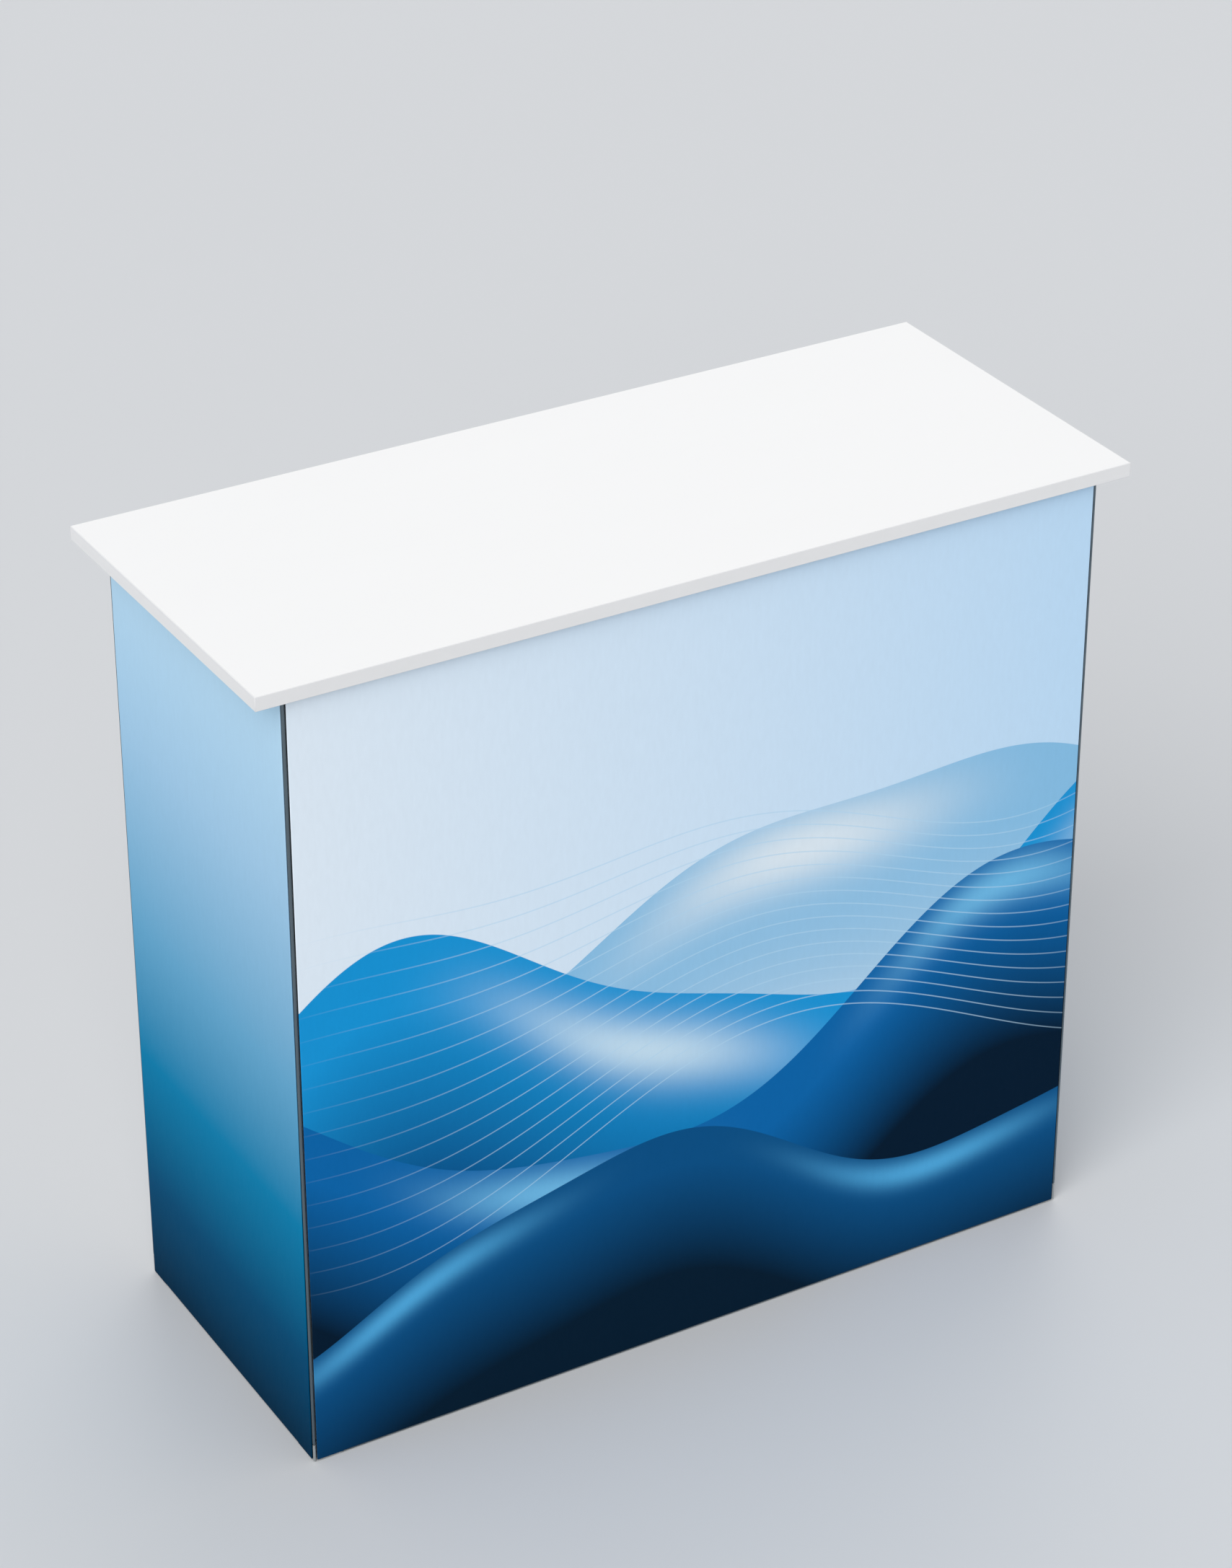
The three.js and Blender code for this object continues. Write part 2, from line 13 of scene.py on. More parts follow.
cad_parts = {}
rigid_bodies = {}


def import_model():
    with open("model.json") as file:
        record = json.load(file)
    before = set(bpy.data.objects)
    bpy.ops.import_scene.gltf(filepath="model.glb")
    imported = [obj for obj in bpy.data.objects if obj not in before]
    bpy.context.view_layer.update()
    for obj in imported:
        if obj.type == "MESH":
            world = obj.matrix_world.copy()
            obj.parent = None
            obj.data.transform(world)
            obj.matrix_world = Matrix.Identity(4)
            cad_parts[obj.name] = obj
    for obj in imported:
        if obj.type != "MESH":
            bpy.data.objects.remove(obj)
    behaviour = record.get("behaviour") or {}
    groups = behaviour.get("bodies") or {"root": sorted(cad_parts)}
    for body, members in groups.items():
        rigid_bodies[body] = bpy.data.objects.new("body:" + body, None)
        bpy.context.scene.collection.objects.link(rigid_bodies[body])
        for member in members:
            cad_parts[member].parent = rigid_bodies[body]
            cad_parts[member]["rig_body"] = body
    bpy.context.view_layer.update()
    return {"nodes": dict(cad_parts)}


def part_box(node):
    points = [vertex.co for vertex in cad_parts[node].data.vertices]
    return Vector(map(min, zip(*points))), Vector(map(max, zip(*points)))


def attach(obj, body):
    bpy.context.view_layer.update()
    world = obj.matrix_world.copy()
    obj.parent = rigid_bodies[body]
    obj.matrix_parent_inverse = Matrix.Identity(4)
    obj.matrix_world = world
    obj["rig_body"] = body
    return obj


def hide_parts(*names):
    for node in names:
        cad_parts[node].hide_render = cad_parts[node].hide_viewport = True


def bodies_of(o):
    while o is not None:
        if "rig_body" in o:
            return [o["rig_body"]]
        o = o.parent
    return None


bl_info = {
    "name": "Exhibition counter",
    "version": (1, 0, 0),
    "blender": (4, 5, 0),
    "location": "View3D > Sidebar > Counter",
    "description": "Dresses the packed frame of an exhibition counter",
    "category": "Object",
}

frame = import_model()

SIDES = ("left", "right")
ENDS = ("front", "rear")
CORNERS = tuple(f"{end}_{side}" for end in ENDS for side in SIDES)
OUTWARD = {"front": (0, -1, 0), "rear": (0, 1, 0), "left": (-1, 0, 0), "right": (1, 0, 0)}
QUARTER = pi / 2

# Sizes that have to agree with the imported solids, in metres
LIP_REACH = 0.00375  # of a post's lip from the diagonal of its section
WRAP_REACH = 0.010  # of the fabric along that diagonal
GROOVE_END = 0.0174  # of the hem along that diagonal
HEM_REACH = 0.012  # into a rail
HEM_THICKNESS = 0.0024
HEM_GAP = 0.002  # between a post's hem and the ends of its groove
CORNER_SPAN = 0.038  # beside a corner, where a rail's hem ends
CAP_HEIGHT = 0.0235
LEAF_THICKNESS = 0.0015
SHELF_RAIL_THICKNESS = 0.0025
BRACKET_THICKNESS = 0.003
SEAT_GAP = 0.0001  # between two pieces that are screwed together


# Settings


def linear(code):
    """A colour written as six hex digits, in linear light by the sRGB curve."""
    channels = [byte / 255 for byte in bytes.fromhex(code)]
    return [c / 12.92 if c <= 0.04045 else ((c + 0.055) / 1.055) ** 2.4 for c in channels]


def setting(kind, name, description, default, **rest):
    """A property of a kind, with its name, description and default."""
    return kind(name=name, description=description, default=default, **rest)


def colour(name, description, code):
    """A colour whose default is written as six hex digits."""
    kind = {"min": 0, "max": 1, "size": 3, "subtype": "COLOR"}
    return setting(FloatVectorProperty, name, description, linear(code), **kind)


length = partial(setting, FloatProperty, min=0, unit="LENGTH", precision=5)
strength = partial(setting, FloatProperty, min=0)
angle = partial(setting, FloatProperty, unit="ROTATION")
spot = partial(setting, FloatVectorProperty, subtype="TRANSLATION")


class CounterSizes(bpy.types.PropertyGroup):
    """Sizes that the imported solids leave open."""

    board_arris: length("Board arris", "Rounding along the edges of doors and shelves", 0.0008)
    metal_arris: length("Metal arris", "Rounding along the edges of rails, posts and hem", 0.00025)
    fitting_arris: length("Fitting arris", "Rounding along the edges of hinges, cams and caps", 0.00015)
    band_radius: length("Edge band radius", "Rounding along the outer edges of the worktop's bands", 0.0008)
    band_seam: length("Edge band seam", "Bevel that shows as the line between band and laminate", 0.00015)
    cloth: length("Fabric thickness", "Thickness of the printed fabric", 0.0006)
    lip_radius: length("Lip radius", "Radius of the fabric's outside where it turns into a post", 0.0009)
    fold_radius: length("Fold radius", "Radius of the fabric where it turns into a rail", 0.0015)
    knit: length("Knit pitch", "Distance between the fabric's wales", 0.0006)
    cap_seam: length("Cap seam", "Depth of the step that shows as the dark line above a foot cap", 0.0020)
    handle_bend: length("Handle bend", "Radius of the handle's centre line at its bends", 0.014)
    handle_radius: length("Handle radius", "Radius of the handle's bar", 0.004)
    rose_thickness: length("Rose thickness", "Thickness of the roses under a handle", 0.002)
    lock_flange: length("Lock flange", "Thickness of a lock's flange", 0.0025)
    lock_barrel: length("Lock barrel", "Radius of a lock's barrel", 0.009)
    lock_bore: length("Lock bore", "Radius of the bore round a lock's core", 0.0058)
    leaf_screw_radius: length("Leaf screw radius", "Radius of the flush screws in the hinges", 0.0030)
    leaf_screw_inset: length("Leaf screw inset", "Distance of those screws from the leaf's edge", 0.006)
    flush_rise: length("Flush rise", "Height of a flush screw above its face", 0.0002)
    pan_screw_radius: length("Pan screw radius", "Radius of the pan-head screws", 0.0038)
    pan_rise: length("Pan rise", "Height of a pan-head screw", 0.0018)
    lock_screw_radius: length("Locking screw radius", "Radius of the screws that lock the rails", 0.0040)
    lock_inset: length("Locking screw inset", "Distance of those screws from a rail's end", 0.014)
    foot_disc: length("Foot disc", "Thickness of a levelling foot's disc", 0.008)
    foot_arris: length("Foot arris", "Rounding along the rims of that disc", 0.0009)
    foot_notches: setting(IntProperty, "Foot notches", "Notches round a levelling foot", 24, min=3)
    stud_radius: length("Stud radius", "Outer radius of the stud's thread", 0.005)
    stud_core: length("Stud core", "Radius at the bottom of the stud's thread", 0.0043)
    thread_pitch: length("Thread pitch", "Pitch of the thread on the levelling feet", 0.0015)
    floor_radius: length("Floor radius", "Radius of the floor that the counter stands on", 60)


class CounterColours(bpy.types.PropertyGroup):
    """Colours of the finishes."""

    laminate: colour("Laminate", "White of the worktop's face", "F7F7F6")
    band: colour("Edge band", "White of the worktop's edge bands", "EAEAEA")
    board: colour("Board", "White of the shelf, base board and doors", "F0F0EE")
    aluminium: colour("Aluminium", "Anodised frame", "6A777F")
    cap: colour("Foot cap", "Grey of the foot caps", "A4A9AA")
    zinc: colour("Zinc", "Plated hinges, brackets and screws", "B4B6B6")
    steel: colour("Steel", "Satin handles", "C4C5C4")
    nickel: colour("Nickel", "Plated locks", "D2D0CA")
    nylon: colour("Nylon", "Dark levelling feet", "26282A")
    silicone: colour("Silicone", "Hem of the fabric", "E3E6E4")
    cloth_back: colour("Fabric back", "Unprinted side of the fabric", "E6EBEE")
    pale: colour("Pale sky", "Print at the upper left of the front", "E7F3FD")
    sky: colour("Sky", "Print at the upper right of the front", "C4E3FC")
    threads: colour("Threads", "Fine lines across the front's print", "B9DDF5")
    floor: colour("Floor", "Floor that the counter stands on", "D3D5D7")
    backdrop: colour("Backdrop", "What is seen behind the floor", "DDDEE1")


class CounterStage(bpy.types.PropertyGroup):
    """Light and camera."""

    sky_light: strength("Sky light", "Strength of the even light", 0.72)
    key_strength: strength("Key strength", "Strength of the soft lamp in front", 1.95)
    key_from: spot("Key from", "Where that lamp shines from", (-2.7, -2.4, 3.2))
    fill_strength: strength("Fill strength", "Strength of the lamp behind the counter", 0.8)
    fill_from: spot("Fill from", "Where that lamp shines from", (2.5, 3.0, 1.0))
    lamp_spread: angle("Lamp spread", "Angle that each lamp fills", radians(50))
    camera_place: spot("Camera place", "Where the camera stands", (-2.1987, -3.7792, 3.1238))
    azimuth: angle("Azimuth", "Camera's turn round the counter", radians(-30.306))
    elevation: angle("Elevation", "Camera's tilt", radians(29.691))
    lens: setting(FloatProperty, "Lens", "Focal length of the camera", 100.77, min=1, unit="CAMERA")


def sizes():
    """The sizes in use."""
    return bpy.context.scene.counter_sizes


def colours():
    """The colours in use."""
    return bpy.context.scene.counter_colours


# Nodes

# Inputs and output of a Mix node that mixes colours
MIX_FACTOR, MIX_FIRST, MIX_SECOND, MIX_RESULT = 0, 6, 7, 2


def by_node(operation):
    """A method that joins two values by a Math node."""
    return lambda self, other: self.nodes.maths(operation, self, other)


class Value:
    """An output in a node tree. Sums on it add Math nodes."""

    def __init__(self, nodes, socket):
        self.nodes, self.socket = nodes, socket

    def sibling(self, name):
        """Another output of the same node."""
        return Value(self.nodes, self.socket.node.outputs[name])

    def __rsub__(self, other):
        return self.nodes.maths("SUBTRACT", other, self)

    __add__ = __radd__ = by_node("ADD")
    __sub__ = by_node("SUBTRACT")
    __mul__ = by_node("MULTIPLY")
    __truediv__ = by_node("DIVIDE")
    __pow__ = by_node("POWER")


class Nodes:
    """A node tree and the ways this script adds to it."""

    def __init__(self, tree):
        self.tree = tree

    def feed(self, socket, value):
        """Joins a value to a socket, or writes a plain number or colour on it."""
        if isinstance(value, Value):
            self.tree.links.new(value.socket, socket)
        elif socket.type == "RGBA":
            socket.default_value = (*value, 1)
        else:
            socket.default_value = value

    def node(self, kind, settings=None, sockets=None, out=0):
        """Adds a node, sets it up, feeds its sockets and returns one of its outputs."""
        made = self.tree.nodes.new(kind)
        for key, value in (settings or {}).items():
            if key == "stops":
                set_stops(made.color_ramp.elements, value)
            else:
                setattr(made, key, value)
        for key, value in (sockets or {}).items():
            self.feed(made.inputs[key], value)
        return Value(self, made.outputs[out])

    def maths(self, operation, *values):
        """A Math node on its values, in their order."""
        return self.node("ShaderNodeMath", {"operation": operation}, dict(enumerate(values)))

    def mix(self, factor, first, second):
        """Two colours mixed by a factor."""
        sockets = {MIX_FACTOR: factor, MIX_FIRST: first, MIX_SECOND: second}
        return self.node("ShaderNodeMix", {"data_type": "RGBA"}, sockets, MIX_RESULT)

    def ramp(self, place, stops):
        """Colours written as hex digits, spread over places from 0 to 1."""
        return self.node("ShaderNodeValToRGB", {"stops": stops}, {"Fac": place})

    def step(self, value, low, high):
        """Rises smoothly from 0 to 1 between two values."""
        ends = {"Value": value, "From Min": low, "From Max": high}
        return self.node("ShaderNodeMapRange", {"interpolation_type": "SMOOTHSTEP"}, ends)

    def swell(self, place, reach, span, shift):
        """A sine of a reach and a wavelength, shifted by part of a wave."""
        return self.maths("SINE", place * (2 * pi / span) + 2 * pi * shift) * reach


def set_stops(elements, stops):
    """Gives a colour ramp its stops, each a place and a colour in hex digits."""
    elements.remove(elements[1])
    elements[0].position, elements[0].color = stops[0][0], (*linear(stops[0][1]), 1)
    for place, code in stops[1:]:
        elements.new(place).color = (*linear(code), 1)


class Paint(Nodes):
    """A material: one Principled surface, and what feeds it."""

    def __init__(self, name, metallic=0, specular=0.5):
        self.material = bpy.data.materials.new(name)
        self.material.use_nodes = True
        super().__init__(self.material.node_tree)
        self.surface = self.tree.nodes["Principled BSDF"].inputs
        self.feed(self.surface["Metallic"], metallic)
        self.feed(self.surface["Specular IOR Level"], specular)
        self.place = self.node("ShaderNodeTexCoord", out="Object")

    def axes(self):
        """The place on the object as three numbers, in metres."""
        across = self.node("ShaderNodeSeparateXYZ", {}, {0: self.place})
        return across, across.sibling("Y"), across.sibling("Z")

    def noise(self, x, y, z, detail):
        """Noise with so many grains to the metre along each axis."""
        place = self.node("ShaderNodeMapping", {}, {"Vector": self.place, "Scale": (x, y, z)})
        return self.node("ShaderNodeTexNoise", {}, {"Vector": place, "Scale": 1, "Detail": detail})

    def finish(self, base, roughness, relief, height, strength):
        """Feeds the surface its colour, its roughness and a relief of a height in metres."""
        bump = {"Height": relief, "Distance": height, "Strength": strength}
        self.feed(self.surface["Base Color"], base)
        self.feed(self.surface["Roughness"], roughness)
        self.feed(self.surface["Normal"], self.node("ShaderNodeBump", {}, bump))
        return self.material


# Finishes

RINGS = 9000


def turning_marks(paint):
    """Noise in rings round the middle of a lock's face, so many to the metre of radius."""
    across, _, height = paint.axes()
    low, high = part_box("lock_core_right")
    middle = (low + high) / 2
    offset = paint.maths("ABSOLUTE", across) - middle.x
    radius = paint.maths("SQRT", offset * offset + (height - middle.z) ** 2)
    settings = {"noise_dimensions": "1D"}
    return paint.node("ShaderNodeTexNoise", settings, {"W": radius * RINGS, "Detail": 1})


class Skin(NamedTuple):
    """A finish of one colour, varied by two noises: a fine grain, and patches that are fainter."""

    colour: str
    shades: tuple  # darkest and palest, as shares of the colour
    roughness: tuple  # even part, then what grain and patches add
    relief: tuple  # the grain's height in metres, and its strength
    grain: tuple = ()  # grains to the metre along each axis, and detail; or a function that draws it
    patches: tuple = ()  # written as the grain is; without them the grain shades the colour
    shaded_by_grain: bool = False
    tints: tuple = ()  # two tints that the patches lay over the darkest shade
    metallic: float = 0
    specular: float = 0.5


ANODISED = Skin(
    "aluminium", (0.88, 1.08), roughness=(0.24, 0.12, 0.10), relief=(0.00002, 0.35),
    patches=(14, 14, 14, 5), shaded_by_grain=True, metallic=1,
)
SKINS = {
    # A fine pebbled skin, with faint wipe marks in its shine
    "white_laminate": Skin(
        "laminate", (0.985, 1), roughness=(0.38, 0, 0.16), relief=(0.00004, 0.25),
        grain=(1500, 1500, 1500, 3), patches=(2.5, 11, 3, 4), specular=0.06,
    ),
    # Drawn lengthwise, a little duller than the laminate
    "drawn_edge_band": Skin(
        "band", (0.965, 1), roughness=(0.34, 0, 0.18), relief=(0.00003, 0.3),
        grain=(30, 30, 2600, 2), patches=(60, 60, 60, 5), specular=0.4,
    ),
    # A faint orange-peel skin
    "melamine_board": Skin(
        "board", (0.975, 1), roughness=(0.36, 0, 0.16), relief=(0.00005, 0.25),
        grain=(700, 700, 700, 2), patches=(5, 9, 7, 5), specular=0.4,
    ),
    # Drawn lengthwise, a little duller than the boards' faces
    "board_edge_band": Skin(
        "board", (0.9025, 0.95), roughness=(0.4, 0.15), relief=(0.00004, 0.3),
        grain=(900, 900, 30, 2), specular=0.4,
    ),
    # Anodised aluminium, with the fine lines of its extrusion along one axis
    "anodised_aluminium_x": ANODISED._replace(grain=(9, 1300, 1300, 3)),
    "anodised_aluminium_y": ANODISED._replace(grain=(1300, 9, 1300, 3)),
    "anodised_aluminium_z": ANODISED._replace(grain=(1300, 1300, 9, 3)),
    # A die casting with a fine sanded skin
    "cast_foot_cap": Skin(
        "cap", (0.86, 1.06), roughness=(0.42, 0.14), relief=(0.00006, 0.5),
        grain=(1800, 1800, 1800, 2), patches=(90, 90, 90, 4), metallic=0.55,
    ),
    # Mottled, and faintly blue and yellow
    "zinc_plating": Skin(
        "zinc", (1, 1), roughness=(0.22, 0.2), relief=(0.00002, 0.3), grain=(420, 420, 420, 4),
        patches=(80, 80, 80, 2), shaded_by_grain=True, tints=((0.9, 0.97, 1), (1, 0.97, 0.84)),
        metallic=1,
    ),
    # The inside of a screw's cross: zinc darkened to painted shade, so that the shallow cross reads as a
    # deep recess
    "screw_recess": Skin(
        "zinc", (0.072, 0.12), roughness=(0.5, 0.2), relief=(0.00002, 0.3),
        grain=(900, 900, 900, 2), metallic=1,
    ),
    # Satin steel, brushed along the bar
    "brushed_steel": Skin(
        "steel", (0.86, 1), roughness=(0.2, 0.16), relief=(0.00001, 0.4),
        grain=(2600, 2600, 50, 3), metallic=1,
    ),
    # Bright nickel with the marks of its turning
    "turned_nickel": Skin(
        "nickel", (0.9, 1), roughness=(0.12, 0.12), relief=(0.00001, 0.5),
        grain=turning_marks, metallic=1,
    ),
    # A fine sparked skin, with dust on it
    "moulded_nylon": Skin(
        "nylon", (1, 1.7), roughness=(0.5, 0.2), relief=(0.00008, 0.5),
        grain=(1400, 1400, 1400, 3), patches=(160, 160, 160, 4),
    ),
    # Milky silicone, with a little grip
    "milky_silicone": Skin(
        "silicone", (0.94, 1), roughness=(0.38, 0.12), relief=(0.00008, 0.4),
        grain=(900, 900, 900, 1), specular=0.45,
    ),
    # A smooth sealed floor
    "pale_floor": Skin(
        "floor", (0.985, 1), roughness=(0.3, 0, 0.12), relief=(0.0001, 0.1),
        grain=(160, 160, 160, 3), patches=(0.8, 0.8, 0.8, 3), specular=0.15,
    ),
}


def shaded(tone, shade):
    """A colour made darker or paler, by a number or by one for each channel."""
    shades = shade if isinstance(shade, tuple) else (shade, shade, shade)
    return [min(1.0, channel * share) for channel, share in zip(tone, shades)]


def skin(name):
    """Mixes a finish from its recipe."""
    recipe = SKINS[name]
    paint = Paint(name, recipe.metallic, recipe.specular)
    grain = recipe.grain(paint) if callable(recipe.grain) else paint.noise(*recipe.grain)
    patches = paint.noise(*recipe.patches) if recipe.patches else grain
    tone = getattr(colours(), recipe.colour)
    dark, pale = (shaded(tone, shade) for shade in recipe.shades)
    if recipe.tints:
        dark = paint.mix(patches, *(shaded(tone, tint) for tint in recipe.tints))
    base = paint.mix(grain if recipe.shaded_by_grain else patches, dark, pale)
    roughness, *shares = recipe.roughness
    for cover, share in zip((grain, patches), shares):
        if share:
            roughness = roughness + cover * share
    return paint.finish(base, roughness, grain, *recipe.relief)


# Prints. Places across and heights are in metres, from the middle of the front and from the floor


class Wave(NamedTuple):
    """One layer of the front's print."""

    level: float  # height that its crest swings about
    swells: tuple  # reach, wavelength and shift of each sine in its crest
    depth: float  # from crest to foot
    colours: tuple  # of its foot, its body and its light
    gloss: tuple  # place and spread of the light over the depth, its wavelength and its shift
    fade: float = 0  # share of the depth, from the foot, in which it fades out


WAVES = (
    Wave(
        0.60, ((0.085, 1.25, 0.05), (0.020, 0.52, 0.30)), 0.40,
        ("C4DEF1", "8CC4E9", "ECF5FA"), (0.88, 0.12, 0.85, 0.10), 0.5,
    ),
    Wave(
        0.52, ((0.115, 1.05, 0.60), (0.022, 0.47, 0.10)), 0.34,
        ("084E86", "1998DA", "D4ECF9"), (0.77, 0.12, 0.75, 0.35),
    ),
    Wave(
        0.40, ((0.125, 1.20, 0.84), (0.018, 0.50, 0.55)), 0.27,
        ("051D32", "0D68AC", "78C4EE"), (0.85, 0.11, 0.60, 0.58),
    ),
    Wave(
        0.215, ((0.075, 0.95, 0.36), (0.012, 0.40, 0.20)), 0.20,
        ("061F33", "0C5388", "56B2E6"), (0.87, 0.09, 0.70, 0.80),
    ),
)
# A wave has its body's colour at this share of its depth
BODY_PLACE = 0.75
GLOSS_STRENGTH = 0.9
CREST_BLUR = 0.0012

# The ground's colours over its depth, how it leans and rises, and where it blends into the sky
GROUND_STOPS = ((0, "092D48"), (0.3, "0B5080"), (0.55, "168ECC"), (0.8, "78B8E5"), (1, "B4D3EC"))
GROUND_TILT = 0.07
GROUND_RISE = 0.035
GROUND_SWELL = (0.012, 0.9, 0)
GROUND_DEPTH = 0.34
GROUND_BLEND = (0.27, 0.42)
SIDE_STOPS = (
    (0, "002A44"), (0.14, "004C74"), (0.32, "0680AE"), (0.5, "67AAD0"), (0.75, "A5CEEB"), (1, "C3E5FA")
)

# The threads run between two guides, each a level and its swells. A swell fades them in and out
THREADS = 16
THREAD_WIDTH = 0.0004
THREAD_STRENGTH = 0.55
LOW_GUIDE = (0.30, ((0.09, 1.1, 0.15),))
HIGH_GUIDE = (0.66, ((0.05, 1.3, 0.45), (0.03, 0.7, 0.1)))
THREAD_SWELL = (1, 1.6, 0.2)
THREAD_BLEND = (-0.9, 0.6)

# Courses stand as high as this share of the wales. Slubs are written as a skin's grain is
COURSE_HEIGHT = 0.35
SLUBS = (220, 220, 60, 3)
SLUB_SHADE = 0.05
SLUB_ROUGHNESS = 0.14
CLOTH_ROUGHNESS = 0.62
CLOTH_RELIEF = (0.0001, 0.35)
CLOTH_SPECULAR = 0.025
BACK_PALENESS = 0.72


def ground(paint, across, height):
    """The pale ground of the front, which falls to navy near the floor."""
    # From 0 at the left edge to 1 at the right one
    lean = across + 0.5
    fall = height - lean * GROUND_TILT + GROUND_RISE - paint.swell(across, *GROUND_SWELL)
    low = paint.ramp(fall / GROUND_DEPTH, GROUND_STOPS)
    sky = paint.mix(lean, colours().pale, colours().sky)
    return paint.mix(paint.step(fall, *GROUND_BLEND), low, sky)


def crest(paint, across, level, swells):
    """The height of a wave's line at each place across the front."""
    line = level
    for swell in swells:
        line = line + paint.swell(across, *swell)
    return line


def wave_layer(paint, under, across, height, wave):
    """Lays one wave over what is under it, with a soft streak of light near its crest."""
    top = crest(paint, across, wave.level, wave.swells)
    rise = (height - top) / wave.depth + 1
    foot, body, light = wave.colours
    face = paint.ramp(rise, ((0, foot), (BODY_PLACE, body)))
    place, spread, span, shift = wave.gloss
    nearness = (rise - place) / spread
    pulse = paint.swell(across, 0.5, span, shift) + 0.5
    gloss = paint.maths("EXPONENT", nearness * nearness * -1) * pulse * pulse * GLOSS_STRENGTH
    lit = paint.mix(gloss, face, linear(light))
    cover = paint.step(top - height, 0, CREST_BLUR)
    if wave.fade:
        cover = cover * paint.step(rise, 0, wave.fade)
    return paint.mix(cover, under, lit)


def thread_lines(paint, under, across, height):
    """Fine pale lines that run between two guide curves."""
    low = crest(paint, across, *LOW_GUIDE)
    gap = crest(paint, across, *HIGH_GUIDE) - low
    share = (height - low) / gap
    cell = paint.maths("ABSOLUTE", paint.maths("FRACT", share * THREADS) - 0.5) * gap / THREADS
    inside = paint.maths("GREATER_THAN", share, 0) * paint.maths("LESS_THAN", share, 1)
    strength = paint.step(paint.swell(across, *THREAD_SWELL), *THREAD_BLEND) * THREAD_STRENGTH
    line = (1 - paint.step(cell, THREAD_WIDTH, CREST_BLUR)) * inside * strength
    return paint.mix(line, under, colours().threads)


def front_picture(paint, across, height):
    """The front's print: its ground, four waves and the threads over them."""
    picture = ground(paint, across, height)
    for wave in WAVES:
        picture = wave_layer(paint, picture, across, height, wave)
    return thread_lines(paint, picture, across, height)


def cloth(name):
    """Knitted display fabric that carries the front's or a side's print, or its unprinted side."""
    paint = Paint(name, specular=CLOTH_SPECULAR)
    east, north, height = paint.axes()
    if name.startswith("front"):
        across, printed = east, front_picture(paint, east, height)
    else:
        across, printed = north, paint.ramp(height, SIDE_STOPS)
    if name.endswith("back"):
        printed = paint.mix(BACK_PALENESS, printed, colours().cloth_back)
    wale = pi / sizes().knit
    wales = paint.maths("ABSOLUTE", paint.maths("SINE", across * wale))
    courses = paint.maths("SINE", height * (2 * wale)) * COURSE_HEIGHT
    slubs = paint.noise(*SLUBS)
    base = paint.mix(slubs * SLUB_SHADE, printed, (0, 0, 0))
    roughness = slubs * SLUB_ROUGHNESS + CLOTH_ROUGHNESS
    return paint.finish(base, roughness, wales + courses, *CLOTH_RELIEF)


def finish(name):
    """A finish by name, mixed when it is first asked for."""
    mix = skin if name in SKINS else cloth
    return bpy.data.materials.get(name) or mix(name)


# Shapes

# Points nearer than MERGE are one, and faces that turn by less than FLAT are one. Edges that turn
# by more than CORNER are rounded, and by more than SMOOTH shaded as sharp. FACE_WEIGHT leans the
# shading towards large faces
MERGE = 1e-6
FLAT = radians(0.5)
CORNER = radians(32)
SMOOTH = radians(50)
FACE_WEIGHT = 100
ARRIS_STEPS = 2

# A screw's cross and face as shares of its radius, each step down its rim as a share of the radius
# and a drop in shares of its rise, the depth of its cross as a share of its rise, and the cells of
# the grid that the cross is cut from
SCREW_CROSS = 0.45
SCREW_FACE = 0.82
SCREW_RIM = ((0.95, 0.12), (1.0, 0.35), (1.0, 0.6))
SCREW_DEPTH = 0.8
SCREW_CELLS = 6


def rotation(turn, axis):
    """A turn round an axis, as a matrix."""
    return Matrix.Rotation(turn, 4, axis)


FACING_REAR = rotation(-QUARTER, "X")


def rounded(bm, edges, width, steps=ARRIS_STEPS):
    """Rounds edges to a width."""
    bmesh.ops.bevel(
        bm, geom=edges, offset=width, segments=steps, profile=0.5, affect="EDGES", material=-1
    )


def arris(bm, width, wanted=None, steps=ARRIS_STEPS):
    """Rounds the outward corners, or those of them that are wanted."""
    edges = [e for e in bm.edges if e.is_manifold and e.calc_face_angle_signed() > CORNER]
    rounded(bm, [e for e in edges if wanted(e)] if wanted else edges, width, steps)


def placed(bm, matrix):
    """Moves and turns a whole shape."""
    bmesh.ops.transform(bm, verts=bm.verts, matrix=matrix)


def block(low, high):
    """A box between two corners."""
    bm = bmesh.new()
    bmesh.ops.create_cube(bm, size=1)
    low, high = Vector(low), Vector(high)
    bmesh.ops.scale(bm, verts=bm.verts, vec=high - low)
    bmesh.ops.translate(bm, verts=bm.verts, vec=(low + high) / 2)
    return bm


def copied(node):
    """A node's shape with its corners merged and its flat faces joined."""
    bm = bmesh.new()
    bm.from_mesh(frame["nodes"][node].data)
    bmesh.ops.remove_doubles(bm, verts=bm.verts, dist=MERGE)
    bmesh.ops.dissolve_limit(bm, angle_limit=FLAT, verts=bm.verts, edges=bm.edges)
    return bm


def edges_of(made):
    """The edges among what an operator made."""
    return [part for part in made if isinstance(part, bmesh.types.BMEdge)]


def verts_of(made):
    """The vertices among what an operator made."""
    return [part for part in made if isinstance(part, bmesh.types.BMVert)]


def pulled(bm, edges, vec):
    """Extrudes edges by a vector and returns the new far edges."""
    made = bmesh.ops.extrude_edge_only(bm, edges=edges)["geom"]
    bmesh.ops.translate(bm, verts=verts_of(made), vec=vec)
    return edges_of(made)


def swung(bm, edges, centre, axis, turn, steps):
    """Sweeps edges round an axis and returns the new far edges."""
    settings = {"cent": centre, "axis": axis, "angle": turn, "steps": steps}
    return edges_of(bmesh.ops.spin(bm, geom=edges, use_duplicate=False, **settings)["geom_last"])


def closed(bm):
    """Joins a shape's loose ends and turns its faces outwards."""
    bmesh.ops.remove_doubles(bm, verts=bm.verts, dist=MERGE)
    bmesh.ops.recalc_face_normals(bm, faces=bm.faces)


